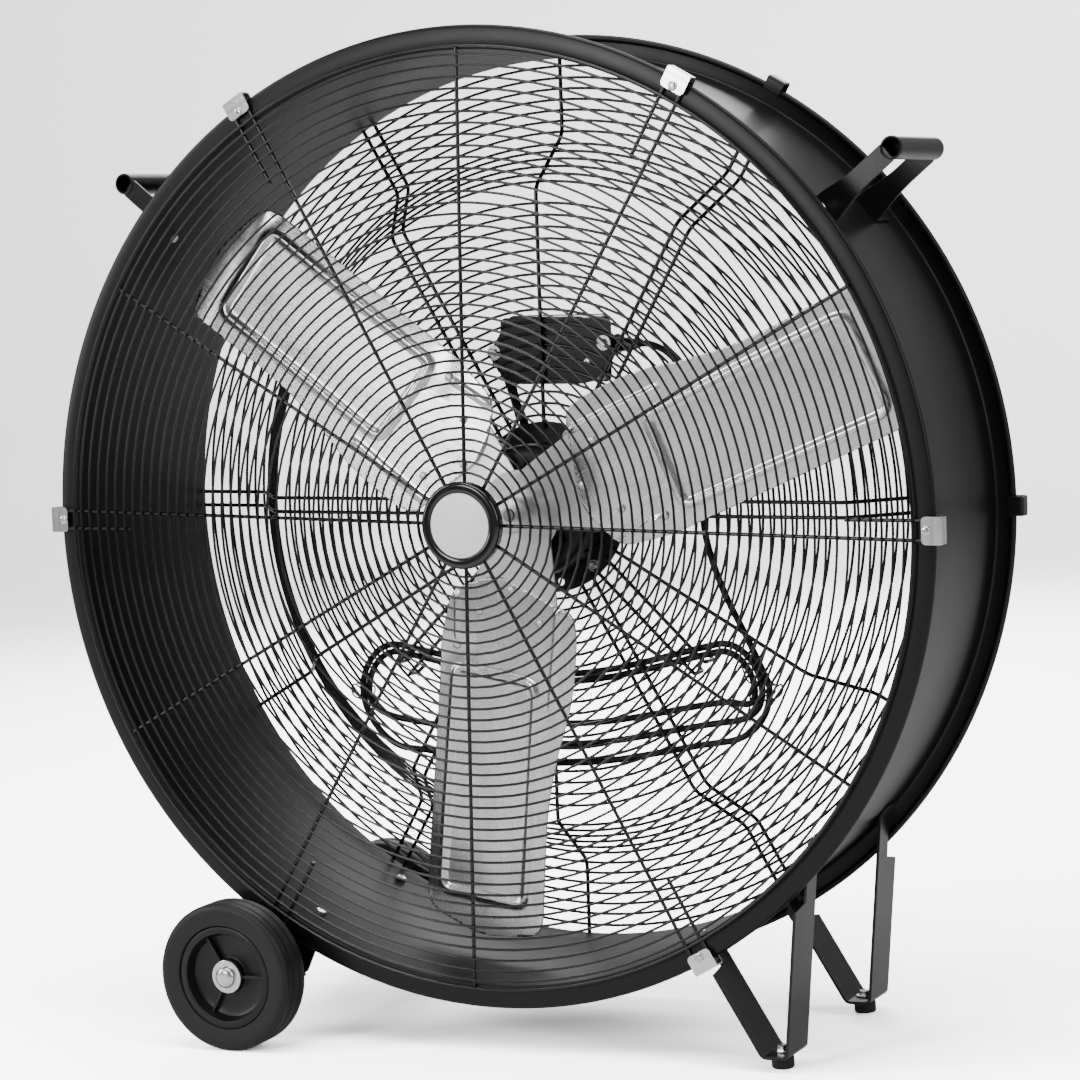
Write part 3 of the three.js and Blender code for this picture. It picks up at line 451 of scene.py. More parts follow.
def dome_rivet(radius, height):
    """A domed rivet head, its seat at y = 0 and its top towards +Y."""
    profile = [(0, 0), (radius, 0)]
    profile += [(radius * math.cos(a), height * (0.15 + 0.85 * math.sin(a)))
                for a in (0.0, 0.4, 0.8, 1.15)]
    return turned(profile + [(0, height)], 20)


# ------------------------------------------------------------------ node groups
def feed(tree, socket, value):
    """Links a socket to another, or sets it to a number or a colour."""
    if isinstance(value, bpy.types.NodeSocket):
        tree.links.new(value, socket)
    elif isinstance(value, (int, float)):
        socket.default_value = value
    else:
        socket.default_value = (*value[:3], 1)


def start_group(name, inputs, outputs):
    """An empty shader group, the sockets given to it and the sockets it gives out."""
    tree = bpy.data.node_groups.new(name, "ShaderNodeTree")
    kinds = {"Color": "NodeSocketColor"}
    for label, default in inputs.items():
        socket = tree.interface.new_socket(
            name=label, in_out="INPUT", socket_type=kinds.get(label, "NodeSocketFloat"))
        socket.default_value = default
    for label in outputs:
        tree.interface.new_socket(
            name=label, in_out="OUTPUT", socket_type=kinds.get(label, "NodeSocketFloat"))
    given = tree.nodes.new("NodeGroupInput")
    out = tree.nodes.new("NodeGroupOutput")
    return tree, given.outputs, out.inputs


def math_node(tree, operation, first, second, clamp=False):
    node = tree.nodes.new("ShaderNodeMath")
    node.operation = operation
    node.use_clamp = clamp
    feed(tree, node.inputs[0], first)
    feed(tree, node.inputs[1], second)
    return node.outputs[0]


def swing(tree, value, middle, amount):
    """How far a value is off its middle, times an amount."""
    return math_node(tree, "MULTIPLY", math_node(tree, "SUBTRACT", value, middle), amount)


def remap(tree, value, low, high, start=0.0, end=1.0):
    """A value between low and high, stretched to run from start to end."""
    node = tree.nodes.new("ShaderNodeMapRange")
    node.clamp = True
    for i, part in enumerate((value, low, high, start, end)):
        feed(tree, node.inputs[i], part)
    return node.outputs[0]


def mix_colour(tree, factor, first, second, blend="MIX"):
    node = tree.nodes.new("ShaderNodeMix")
    node.data_type = "RGBA"
    node.blend_type = blend
    for i, value in ((0, factor), (6, first), (7, second)):
        feed(tree, node.inputs[i], value)
    return node.outputs[2]


def object_place(tree):
    return tree.nodes.new("ShaderNodeTexCoord").outputs["Object"]


def noise(tree, place, scale, detail, rough):
    node = tree.nodes.new("ShaderNodeTexNoise")
    for label, value in (("Vector", place), ("Scale", scale), ("Detail", detail),
                         ("Roughness", rough)):
        feed(tree, node.inputs[label], value)
    return node.outputs["Fac"]


def coat_group():
    """Powder coat or moulded grain: fine speckle, soft clouds and an even bump."""
    tree, given, out = start_group("Coat grain", {
        "Color": (0.02, 0.02, 0.02, 1), "Roughness": 0.4, "Grain": 900.0, "Speckle": 0.5,
        "Clouds": 0.15}, ("Color", "Roughness", "Height"))
    place = object_place(tree)
    fine = noise(tree, place, given["Grain"], 3.0, 0.6)
    broad = noise(tree, place, 9.0, 3.0, 0.55)
    spots = remap(tree, fine, 0.56, 0.74)
    amount = math_node(tree, "MULTIPLY", spots, given["Speckle"], True)
    lighter = mix_colour(tree, 1.0, given["Color"], (3.2, 3.2, 3.3), "MULTIPLY")
    feed(tree, out["Color"], mix_colour(tree, amount, given["Color"], lighter))
    clouds = swing(tree, broad, 0.5, given["Clouds"])
    rough = math_node(tree, "ADD", given["Roughness"], clouds)
    rough = math_node(tree, "ADD", rough, swing(tree, fine, 0.5, 0.12), True)
    feed(tree, out["Roughness"], rough)
    feed(tree, out["Height"], fine)
    return tree


def metal_group():
    """Mill or plating grain: streaks along Z with soft blotches."""
    tree, given, out = start_group("Metal grain", {
        "Color": (0.6, 0.6, 0.6, 1), "Roughness": 0.3, "Streaks": 0.4, "Blotches": 0.3,
        "Grain": 500.0}, ("Color", "Roughness", "Height"))
    place = object_place(tree)
    mapping = tree.nodes.new("ShaderNodeMapping")
    mapping.inputs["Scale"].default_value = (1.0, 1.0, 0.025)
    feed(tree, mapping.inputs["Vector"], place)
    grain = noise(tree, mapping.outputs[0], given["Grain"], 4.0, 0.65)
    blotch = noise(tree, place, 22.0, 4.0, 0.6)
    dark = mix_colour(tree, 1.0, given["Color"], (0.62, 0.62, 0.64), "MULTIPLY")
    colour = given["Color"]
    for fac, low, high, amount in ((grain, 0.35, 0.7, "Streaks"), (blotch, 0.45, 0.75, "Blotches")):
        share = math_node(tree, "MULTIPLY", remap(tree, fac, low, high), given[amount], True)
        colour = mix_colour(tree, share, colour, dark)
    feed(tree, out["Color"], colour)
    rough = math_node(tree, "ADD", swing(tree, grain, 0.45, 0.22), swing(tree, blotch, 0.5, 0.25))
    feed(tree, out["Roughness"], math_node(tree, "ADD", rough, given["Roughness"], True))
    feed(tree, out["Height"], grain)
    return tree


def give_mask(tree, given, out, mask, patch):
    """Breaks a mask up by a patch and gives out the amount asked for."""
    mask = math_node(tree, "MULTIPLY", mask, patch)
    feed(tree, out["Mask"], math_node(tree, "MULTIPLY", mask, given["Amount"], True))
    return tree


def edge_group():
    """A mask that is 1 along sharp outer edges, broken up by noise."""
    tree, given, out = start_group("Rubbed edges", {"Radius": 0.0008, "Amount": 0.5}, ("Mask",))
    bevel = tree.nodes.new("ShaderNodeBevel")
    bevel.samples = 4
    feed(tree, bevel.inputs["Radius"], given["Radius"])
    facing = tree.nodes.new("ShaderNodeNewGeometry")
    dot = tree.nodes.new("ShaderNodeVectorMath")
    dot.operation = "DOT_PRODUCT"
    feed(tree, dot.inputs[0], bevel.outputs[0])
    feed(tree, dot.inputs[1], facing.outputs["Normal"])
    edge = remap(tree, dot.outputs["Value"], 0.985, 0.9)
    patch = remap(tree, noise(tree, object_place(tree), 60.0, 3.0, 0.6), 0.35, 0.65)
    return give_mask(tree, given, out, edge, patch)


def dust_group():
    """A mask of thin dust on faces that look up."""
    tree, given, out = start_group("Settled dust", {"Amount": 0.1}, ("Mask",))
    facing = tree.nodes.new("ShaderNodeNewGeometry")
    split = tree.nodes.new("ShaderNodeSeparateXYZ")
    feed(tree, split.inputs[0], facing.outputs["Normal"])
    up = remap(tree, split.outputs["Z"], 0.2, 1.0)
    patch = remap(tree, noise(tree, object_place(tree), 35.0, 5.0, 0.7), 0.3, 0.8)
    return give_mask(tree, given, out, up, patch)


GROUPS = {}
GROUP_MAKERS = {"coat": coat_group, "metal": metal_group, "edges": edge_group, "dust": dust_group}


def put_group(tree, key, **values):
    if key not in GROUPS:
        GROUPS[key] = GROUP_MAKERS[key]()
    node = tree.nodes.new("ShaderNodeGroup")
    node.node_tree = GROUPS[key]
    for label, value in values.items():
        feed(tree, node.inputs[label], value)
    return node.outputs


# ------------------------------------------------------------------ finishes
RUBBED_COLOUR = (0.16, 0.16, 0.165)
DUST_COLOUR = (0.2, 0.195, 0.185)

# Name, colour or tint, roughness, grain, speckle, clouds, bump depth, and what else it has
COATED = {
    "drum_paint": ("Drum paint", "paint", 0.32, 1100.0, 0.45, 0.12, 0.00006,
                   dict(edge=0.35, dust=0.03, specular=0.24)),
    "drum_inside": ("Drum inside", "paint", 0.4, 900.0, 0.6, 0.15, 0.0001,
                    dict(dust=0.02, specular=0.14)),
    "guard_wire": ("Guard wire", "wire", 0.2, 1400.0, 0.2, 0.08, 0.00003, dict(coat=0.3)),
    "sheet_paint": ("Sheet paint", "paint", 0.3, 1300.0, 0.3, 0.15, 0.00004,
                    dict(edge=0.55, dust=0.06)),
    "motor_paint": ("Motor paint", "paint", 0.4, 800.0, 0.4, 0.15, 0.0001, dict(edge=0.3)),
    "rubber": ("Foot rubber", (0.016, 0.016, 0.016), 0.75, 500.0, 0.2, 0.2, 0.0002,
               dict(dust=0.1)),
    "tyre": ("Tyre rubber", "tyre", 0.5, 700.0, 0.3, 0.25, 0.00015, dict(dust=0.12)),
    "black_plastic": ("Moulded plastic", "plastic", 0.36, 1200.0, 0.25, 0.15, 0.00006,
                      dict(edge=0.15)),
    "gloss_plastic": ("Gloss plastic", "plastic", 0.13, 600.0, 0.05, 0.06, 0.00002,
                      dict(coat=0.5)),
    "cord": ("Cord sheath", "cord", 0.38, 600.0, 0.15, 0.15, 0.00008, dict(dust=0.05)),
}

# Name, colour or tint, roughness, streaks, blotches, grain, bump depth, anisotropy
METALS = {
    "zinc": ("Zinc plate", "zinc", 0.24, 0.25, 0.5, 260.0, 0.00002, 0.0),
    "steel": ("Ground steel", (0.42, 0.43, 0.45), 0.28, 0.5, 0.3, 600.0, 0.00002, 0.0),
    "aluminium": ("Mill aluminium", "aluminium", 0.22, 0.35, 0.35, 420.0, 0.00004, 0.3),
    "spider": ("Satin aluminium", "aluminium", 0.34, 0.3, 0.3, 700.0, 0.00002, 0.0),
    "winding": ("Copper winding", "copper", 0.35, 0.7, 0.3, 900.0, 0.0003, 0.0),
}
MATERIALS = {}


def start_material(name):
    material = bpy.data.materials.new(name)
    material.use_nodes = True
    return material, material.node_tree, material.node_tree.nodes["Principled BSDF"].inputs


def bump(tree, shader, height, strength, distance):
    node = tree.nodes.new("ShaderNodeBump")
    node.inputs["Strength"].default_value = strength
    node.inputs["Distance"].default_value = distance
    feed(tree, node.inputs["Height"], height)
    feed(tree, shader["Normal"], node.outputs[0])


def tinted(colour):
    """A colour as it is, or a user's colour by its name."""
    return getattr(colours(), colour) if isinstance(colour, str) else colour


def coated(name, colour, roughness, grain, speckle, clouds, depth, more):
    """A black coated or moulded finish."""
    material, tree, shader = start_material(name)
    base = put_group(tree, "coat", Color=tinted(colour), Roughness=roughness, Grain=grain,
                     Speckle=speckle, Clouds=clouds)
    result = base["Color"]
    rough = base["Roughness"]
    if "edge" in more:
        rubbed = put_group(tree, "edges", Radius=0.0009, Amount=more["edge"])
        result = mix_colour(tree, rubbed["Mask"], result, RUBBED_COLOUR)
    if "dust" in more:
        dusty = put_group(tree, "dust", Amount=more["dust"])["Mask"]
        result = mix_colour(tree, dusty, result, DUST_COLOUR)
        rough = math_node(tree, "ADD", rough, math_node(tree, "MULTIPLY", dusty, 0.5), True)
    feed(tree, shader["Base Color"], result)
    feed(tree, shader["Roughness"], rough)
    shader["Specular IOR Level"].default_value = more.get("specular", 0.3)
    shader["Coat Weight"].default_value = more.get("coat", 0.0)
    shader["Coat Roughness"].default_value = 0.12
    bump(tree, shader, base["Height"], 0.35, depth)
    return material


def metal(name, colour, roughness, streaks, blotches, grain, depth, anisotropy):
    """A bare or plated metal."""
    material, tree, shader = start_material(name)
    base = put_group(tree, "metal", Color=tinted(colour), Roughness=roughness, Streaks=streaks,
                     Blotches=blotches, Grain=grain)
    feed(tree, shader["Base Color"], base["Color"])
    feed(tree, shader["Roughness"], base["Roughness"])
    shader["Metallic"].default_value = 1.0
    shader["Anisotropic"].default_value = anisotropy
    bump(tree, shader, base["Height"], 0.3, depth)
    return material


def white_disc():
    """Plain white film with a faint mottle."""
    material, tree, shader = start_material("White disc")
    colour = colours().disc
    cloud = noise(tree, object_place(tree), 120.0, 3.0, 0.5)
    tone = mix_colour(tree, remap(tree, cloud, 0.3, 0.8), colour, [c * 0.94 for c in colour])
    feed(tree, shader["Base Color"], tone)
    feed(tree, shader["Roughness"], remap(tree, cloud, 0.2, 0.8, 0.28, 0.4))
    bump(tree, shader, cloud, 0.15, 0.00002)
    return material


def finish(key):
    """A finish by name, made the first time it is asked for."""
    if key not in MATERIALS:
        if key in COATED:
            MATERIALS[key] = coated(*COATED[key])
        elif key in METALS:
            MATERIALS[key] = metal(*METALS[key])
        elif key == "white_disc":
            MATERIALS[key] = white_disc()
        else:
            raise RuntimeError(f"no finish is called {key}")
    return MATERIALS[key]


def paint_node(name, key):
    """Gives a node of the frame a finish."""
    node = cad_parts[name]
    node.data.materials.clear()
    node.data.materials.append(finish(key))
    for face in node.data.polygons:
        face.material_index = 0


# ------------------------------------------------------------------ stage
CAMERA_PLACE = (1.4155, -2.7092, 0.7548)
CAMERA_TURN = ((0.889365, 0.020891, 0.45672), (0.452352, 0.104851, -0.885655),
               (-0.06639, 0.994269, 0.0838))
BACKDROP = [(-9, 0), (4.2, 0), (4.8, 0.08), (5.3, 0.35), (5.6, 0.8), (5.7, 1.4), (5.7, 7)]

# Where each light is, what it is aimed at, its width and height, and its power
LIGHTS = {
    "top_light": ((0.2, -0.4, 3.2), (0, 0, 0.3), (2.6, 2.2), 85),
    "left_light": ((-2.8, -1.7, 1.7), (0, 0, 0.5), (1.0, 2.4), 60),
    "right_light": ((3.0, -0.9, 1.9), (0, 0, 0.5), (0.8, 2.4), 40),
    "front_light": ((-1.05, -3.0, 1.35), (0, 0, 0.55), (0.8, 1.0), 36),
    "back_light": ((-1.2, 3.0, 2.2), (0, 0, 0.5), (2.2, 1.6), 60),
}


def camera_ray(tree):
    return tree.nodes.new("ShaderNodeLightPath").outputs["Is Camera Ray"]


class DRUMFAN_OT_stage(bpy.types.Operator):
    """Set up the camera, the pale floor and the soft studio light"""

    bl_idname = "drum_fan.stage"
    bl_label = "Stage"

    def execute(self, context):
        camera_data = bpy.data.cameras.new("camera")
        camera_data.lens = 100.865
        camera_data.sensor_width = 36.0
        camera_data.clip_end = 60.0
        camera = new_object("camera", camera_data)
        camera.matrix_world = Matrix.Translation(CAMERA_PLACE) @ Matrix(CAMERA_TURN).to_4x4()
        context.scene.camera = camera
        self.floor()
        for name, values in LIGHTS.items():
            self.light(name, *values)

        world = bpy.data.worlds.new("studio")
        world.use_nodes = True
        tree = world.node_tree
        background = tree.nodes["Background"].inputs
        background["Color"].default_value = (1, 1, 1, 1)
        feed(tree, background["Strength"], remap(tree, camera_ray(tree), 0.0, 1.0, 0.27, 3.6))
        context.scene.world = world
        return {"FINISHED"}

    def floor(self):
        """A floor that rises into a backdrop, white to the camera and pale to all else."""
        points = [(x, y, z) for x in (-10, 10) for y, z in BACKDROP]
        count = len(BACKDROP)
        faces = [(i, i + 1, count + i + 1, count + i) for i in range(count - 1)]
        mesh = bpy.data.meshes.new("floor")
        mesh.from_pydata(points, [], faces)
        mesh.shade_smooth()
        material, tree, shader = start_material("Studio floor")
        cloud = noise(tree, object_place(tree), 1.5, 3.0, 0.5)
        tint = colours().floor
        tone = mix_colour(tree, remap(tree, cloud, 0.3, 0.7), tint, [c * 0.985 for c in tint])
        feed(tree, shader["Base Color"], tone)
        shader["Roughness"].default_value = 0.65
        shader["Specular IOR Level"].default_value = 0.2
        bright = tree.nodes.new("ShaderNodeBsdfDiffuse")
        bright.inputs["Color"].default_value = (5, 5, 5, 1)
        either = tree.nodes.new("ShaderNodeMixShader")
        feed(tree, either.inputs["Fac"], camera_ray(tree))
        feed(tree, either.inputs[1], tree.nodes["Principled BSDF"].outputs[0])
        feed(tree, either.inputs[2], bright.outputs[0])
        feed(tree, tree.nodes["Material Output"].inputs["Surface"], either.outputs[0])
        mesh.materials.append(material)
        floor = new_object("floor", mesh)

    def light(self, name, where, target, size, power):
        data = bpy.data.lights.new(name, "AREA")
        data.shape = "RECTANGLE"
        data.size, data.size_y = size
        data.energy = power
        lamp = new_object(name, data)
        lamp.visible_camera = False
        turn = (Vector(where) - Vector(target)).to_track_quat("Z", "Y").to_matrix().to_4x4()
        lamp.matrix_world = Matrix.Translation(where) @ turn


# ------------------------------------------------------------------ cord
HANK_MIDDLE = -6.5
HANK_HALF_LENGTH = 241.5
HANK_HALF_HEIGHT = 52
HANK_END_HEIGHT = 335
HANK_SAG = 29
HANK_TURNS = 2.25
HANK_PITCH = 7.9
HANK_SLACK = 12
HANK_LIFT = 6
HANK_DROOP = 11
PLUG_CLIMB = 10
CORD_RADIUS = 3.5
TIE_RADIUS = 1.0


def from_drum(x, y, z):
    """A point of the turned drum, in millimetres of the frame."""
    return in_mm(DRUM) @ Vector((x, y, z))


def hank_point(turn):
    """A point of the hank by its turn: round ends joined by long runs, winding inwards."""
    run_half = HANK_HALF_LENGTH - HANK_HALF_HEIGHT - CORD_RADIUS
    step = turn % 1 * 24
    radius = HANK_HALF_HEIGHT - HANK_PITCH * turn
    if step <= 4 or step >= 20:
        x, z = polar(radius, (-step if step <= 4 else 24 - step) * 22.5)
        x += run_half
    elif 8 <= step <= 16:
        x, z = polar(radius, 270 - (step - 8) * 22.5)
        x -= run_half
    else:
        share = (step - 4) / 4 if step < 8 else (20 - step) / 4
        x = run_half * (1 - 2 * share)
        z = -radius if step < 8 else radius
    low = max(0, -z / radius) ** 2
    high = max(0, z / radius) ** 2
    outwards = min(1, abs(x) / run_half)
    left = min(1, max(0, -x / run_half))
    z += HANK_SLACK * turn * low
    z += HANK_LIFT * high * outwards ** 2
    z -= HANK_DROOP * (1.5 - turn) * low * left
    z -= HANK_SAG * (1 + math.cos(math.pi * x / HANK_HALF_LENGTH)) / 2
    rise = min(max((turn - HANK_TURNS + 0.2) / 0.2, 0), 1)
    rise = rise * rise * (3 - 2 * rise)
    return Vector((HANK_MIDDLE + x, CORD_PLANE + PLUG_CLIMB * rise, HANK_END_HEIGHT + z))


def hank_path():
    """The whole hank, with a short straight start and end."""
    count = round(HANK_TURNS * 96)
    points = [hank_point(k / 96) for k in range(count + 1)]
    first = points[0] + Vector((0, 0, 2 * CORD_RADIUS))
    last = points[-1] - Vector((2 * CORD_RADIUS, 0, 0))
    return [first, *points, last]


def spline_through(points, steps):
    """A smooth line through points, evenly timed by the root of their distance."""
    points = [points[0] * 2 - points[1], *points, points[-1] * 2 - points[-2]]
    line = []
    for i in range(1, len(points) - 2):
        near = points[i - 1:i + 3]
        times = [0.0]
        for a, b in zip(near, near[1:]):
            times.append(times[-1] + max((b - a).length, 1e-6) ** 0.5)
        for k in range(steps):
            at = times[1] + (times[2] - times[1]) * k / steps
            level = near
            for pairs in (((0, 1), (1, 2), (2, 3)), ((0, 2), (1, 3)), ((1, 2),)):
                level = [a * ((times[j] - at) / (times[j] - times[i0]))
                         + b * ((at - times[i0]) / (times[j] - times[i0]))
                         for (i0, j), a, b in zip(pairs, level, level[1:])]
            line.append(level[0])
    line.append(points[-2])
    return line


def lead_path(end):
    """From the strain relief down to the first strand of the hank."""
    points = [
        from_drum(94.6, 91.4, 165), from_drum(104.8, 91.4, 165), Vector((134, 88, 677)),
        Vector((157, 84, 645)), Vector((166, 78, 595)), Vector((168, 71, 540)),
        Vector((172, 67, 490)), Vector((188, CORD_PLANE, 437)), Vector((210, CORD_PLANE, 390)),
        end,
    ]
    return spline_through(points, 6)


class DRUMFAN_OT_cord(bpy.types.Operator):
    """Wind the mains cord into its hank, with its plug and ties"""

    bl_idname = "drum_fan.cord"
    bl_label = "Cord"

    def execute(self, context):
        hank = hank_path()
        path = lead_path(hank[0])[:-1] + hank
        radius = sizes().cord_diameter / 2 / MM
        cord = build(Shape().add(tube(path, radius, 14)), "mains_cord", "cord",
                     replaces=("cord_lead", "cord_hank"), smooth=60)
        ties = [self.tie("right", 0, 2, 1), self.tie("left", 0.5, 1.5, -1)]
        plug = self.plug(hank[-1])
        self.relief()
        return {"FINISHED"}

    def tie(self, name, first, last, side):
        """A coated wire wound twice round the strands at one end, with a loop and two tails."""
        end = HANK_HALF_LENGTH - CORD_RADIUS
        near = end - HANK_PITCH * last - CORD_RADIUS - TIE_RADIUS - 0.7
        far = end - HANK_PITCH * first + CORD_RADIUS + TIE_RADIUS + 0.7
        depth = CORD_RADIUS + TIE_RADIUS + 0.6
        route = [(near - 5, -depth, 25), (near - 2, -depth - 0.6, 16), (near + 2, -depth, 9),
                 ((near + far) / 2, -depth, 8.4), (far - 2, -depth, 8.6), (far, 0, 7),
                 (far - 2, depth, 5), (near + 2, depth, 3), (near, 0, -4), (near + 2, -depth, -8),
                 ((near + far) / 2, -depth, -8.8), (far - 2, -depth, -8), (far + 6, -2, -5),
                 (far + 9, 0, 1), (far + 7, 2, 6), (far, 3, 2), (far - 2, depth, -3),
                 (near + 2, depth, -9), (near, 0, -14), (near - 1, -depth, -20),
                 (near, -depth, -31)]
        path = [Vector((HANK_MIDDLE + side * x, CORD_PLANE + y, HANK_END_HEIGHT + z))
                for x, y, z in route]
        shape = Shape().add(tube(spline_through(path, 6), TIE_RADIUS, 8))
        return build(shape, f"hank_tie_{name}", "black_plastic",
                     replaces=(f"cord_tie_{name}",), smooth=60)

    def plug(self, end):
        body = [(0, 0), (4.6, 0), (5.2, 1)]
        for k in range(5):
            start = 2.4 + k * 2.8
            body += [(5.6 + k * 0.25, start), (5.7 + k * 0.25, start + 1.4),
                     (5.0 + k * 0.25, start + 1.6), (5.0 + k * 0.25, start + 2.4)]
        body += [(7.4, 17), (10, 18.5), (12.3, 21), (13, 24), (13, 37), (12.4, 40.5), (11, 42),
                 (0, 42)]
        shape = turned(body, 40)
        place = at(end.x - 0.3, end.y, end.z, INWARD)
        pins = Shape()
        pins.add(block(-7.1, -5.6, 41.5, 59, -3.2, 3.2))
        pins.add(block(5.6, 7.1, 41.5, 59, -3.2, 3.2))
        pins.add(rod(2.4, 41.5, 61, 20, 0.8), at_mm(0, 0, -8))
        plug = build(shape, "mains_plug", "cord", place=place, replaces=("plug",))
        pins = build(pins, "plug_pins", "steel", place=place, bevel=0.4)
        pins.parent = plug
        pins.matrix_parent_inverse = plug.matrix_world.inverted()
        return plug

    def relief(self):
        gland = 20.6  # reaches back to the side of the box
        profile = [(0, -gland), (9.5, -gland), (9.5, 0), (10.6, 0), (11, 0.4), (11, 2.6), (10.6, 3)]
        for k in range(6):
            start = 4 + k * 3.4
            radius = 8 - k * 0.55
            profile += [(radius, start), (radius, start + 2), (radius - 1.3, start + 2.2),
                        (radius - 1.3, start + 3.2)]
        profile += [(4.7, 25.4), (4.4, 26), (0, 26)]
        build(turned(profile, 32), "cord_relief", "black_plastic", slot="cord",
              place=DRUM @ at(68.3, 91.4, 165, OUTWARD), replaces=("strain_relief",))


# ------------------------------------------------------------------ drum
class DRUMFAN_OT_drum(bpy.types.Operator):
    """Build the rolled drum with its beaded edges"""

    bl_idname = "drum_fan.drum"
    bl_label = "Drum"

    def execute(self, context):
        edge = [(WALL_INSIDE, 117.6), (459.7, 118.6), (460.7, 119)]
        edge += arc(479.5, 115.5, 3.5, range(90, -181, -30))
        edge += [(476, 117), (464.3, 117), (462.2, 116.4), (461.3, 114.4)]
        shape = turned(mirrored(edge), 192)
        drum = build(turned_in(shape), "rolled_drum", "drum_paint",
                     replaces=("drum_shell",), smooth=50)
        drum.data.materials.append(finish("drum_inside"))
        for face in drum.data.polygons:
            centre = face.center
            if math.hypot(centre.x, centre.z - AXIS_HEIGHT * MM) < (WALL_INSIDE + 0.6) * MM:
                face.material_index = 1
        return {"FINISHED"}


# ------------------------------------------------------------------ guards
def spoke(path, offset, degrees, wire):
    """A wire along a path of (radius, y), beside its radius by an offset."""
    points = [(r, y, offset) for r, y in path]
    return tube(points, wire / 2, 10), about(degrees)


class DRUMFAN_OT_front_guard(bpy.types.Operator):
    """Build the front guard with all its rings"""

    bl_idname = "drum_fan.front_guard"
    bl_label = "Front guard"

    def execute(self, context):
        ring = sizes().ring_wire / MM
        thick = sizes().spoke_wire / MM
        ring_plane = -SPOKE_PLANE - thick / 2 - ring / 2 + 0.15
        shape = Shape()
        for k in range(sizes().front_rings):
            shape.add(wire_ring(443.9 - 10.9 * k, ring_plane, ring))
        for radius in (462.6, 454.2):
            shape.add(wire_ring(radius, ring_plane, ring))
        plane = -SPOKE_PLANE
        for k in range(12):
            reach = SHORT_SPOKE if k % 2 else LONG_SPOKE
            shape.add(*spoke([(20, plane), (reach, plane)], 0, 30 * k - 1.15, thick))
            if k % 2 == 0:
                shape.add(*spoke([(396, plane), (LONG_SPOKE, plane)], 9, 30 * k, thick))
        shape.add(rod(40, plane + 1.3, plane + 3.3, 64, 0.4))
        build(turned_in(shape), "front_wire_guard", "guard_wire",
              replaces=("front_guard",), smooth=60)
        return {"FINISHED"}


class DRUMFAN_OT_rear_guard(bpy.types.Operator):
    """Build the dished rear guard with all its rings"""

    bl_idname = "drum_fan.rear_guard"
    bl_label = "Rear guard"

    def execute(self, context):
        ring = sizes().rear_ring_wire / MM
        thick = sizes().rear_spoke_wire / MM
        lift = thick / 2 + ring / 2 - 0.75
        shape = Shape()
        for radius in (464, 452, *(439.9 - 11 * k for k in range(6))):
            shape.add(wire_ring(radius, SPOKE_PLANE + lift, ring))
        rise = Vector((54, 65))
        normal = Vector((-rise.y, rise.x)).normalized() * lift
        for k in range(1, 7):
            place = Vector((328, REAR_PLANE)) + rise * (k / 7) + normal
            shape.add(wire_ring(place.x, place.y, ring))
        for k in range(sizes().rear_rings):
            shape.add(wire_ring(311.6 - 12 * k, REAR_PLANE + lift, ring))

        def path(reach):
            return eased([(80.8, REAR_PLANE), (328, REAR_PLANE), (382, SPOKE_PLANE),
                          (reach, SPOKE_PLANE)], 9, 5)

        for k in range(6):
            for offset in (-7.5, 7.5):
                shape.add(*spoke(path(LONG_SPOKE), offset, 60 * k, thick))
            shape.add(*spoke(path(SHORT_SPOKE), 0, 60 * k + 30, thick))
        for degrees, reach in ((315.8, 232), (224.4, 248)):
            for offset in (-8.6, 8.6):
                corners = [(80.8, REAR_PLANE), (reach, REAR_PLANE), (reach, REAR_PLANE + 22),
                           (reach - 9, REAR_PLANE + 22)]
                shape.add(*spoke(eased(corners, 4.5, 5), offset, degrees, thick))
        build(turned_in(shape), "rear_wire_guard", "guard_wire",
              replaces=("rear_guard",), smooth=60)
        return {"FINISHED"}


class DRUMFAN_OT_cap(bpy.types.Operator):
    """Build the guard cap with its plain disc"""

    bl_idname = "drum_fan.cap"
    bl_label = "Guard cap"

    def execute(self, context):
        front = -134.0
        profile = [(0, -123), (42.4, -123), (43, -123.6), (43, front + 4)]
        profile += arc(39, front + 4, 4, (-15, -35, -55, -75, -90))
        profile += [(37.6, front), (37.2, front + 0.7), (36.4, front + 0.7), (36, front),
                    (33.4, front), (32.8, front + 0.5), (32.4, front + 2), (0, front + 2)]
        build(turned(profile, 96), "cap_ring", "gloss_plastic",
              place=DRUM, replaces=("guard_cap",), smooth=40)
        disc = [(0, front + 0.4), (31.3, front + 0.4), (31.8, front + 0.6), (32, front + 1.1),
                (32, front + 1.7), (0, front + 1.7)]
        build(turned(disc, 96), "plain_disc", "white_disc", place=DRUM, replaces=("cap_disc",))
        return {"FINISHED"}


# ------------------------------------------------------------------ clips
def clip_plate(width, corner):
    """A hooked clip on the +X side, its face towards +Y."""
    half = width / 2
    face = rounded([(471, -half, corner), (491, -half, 1.5), (491, half, 1.5), (471, half, corner)])
    shape = Shape().add(prism(face, 123.0, 125.0))
    middle = [(486, 123.9), (490.1, 123.9), (490.1, 110.6), (477, 110.6)]
    return shape.add(bar(strip(eased(middle, 2.4, 4), 1.7), width - 1))


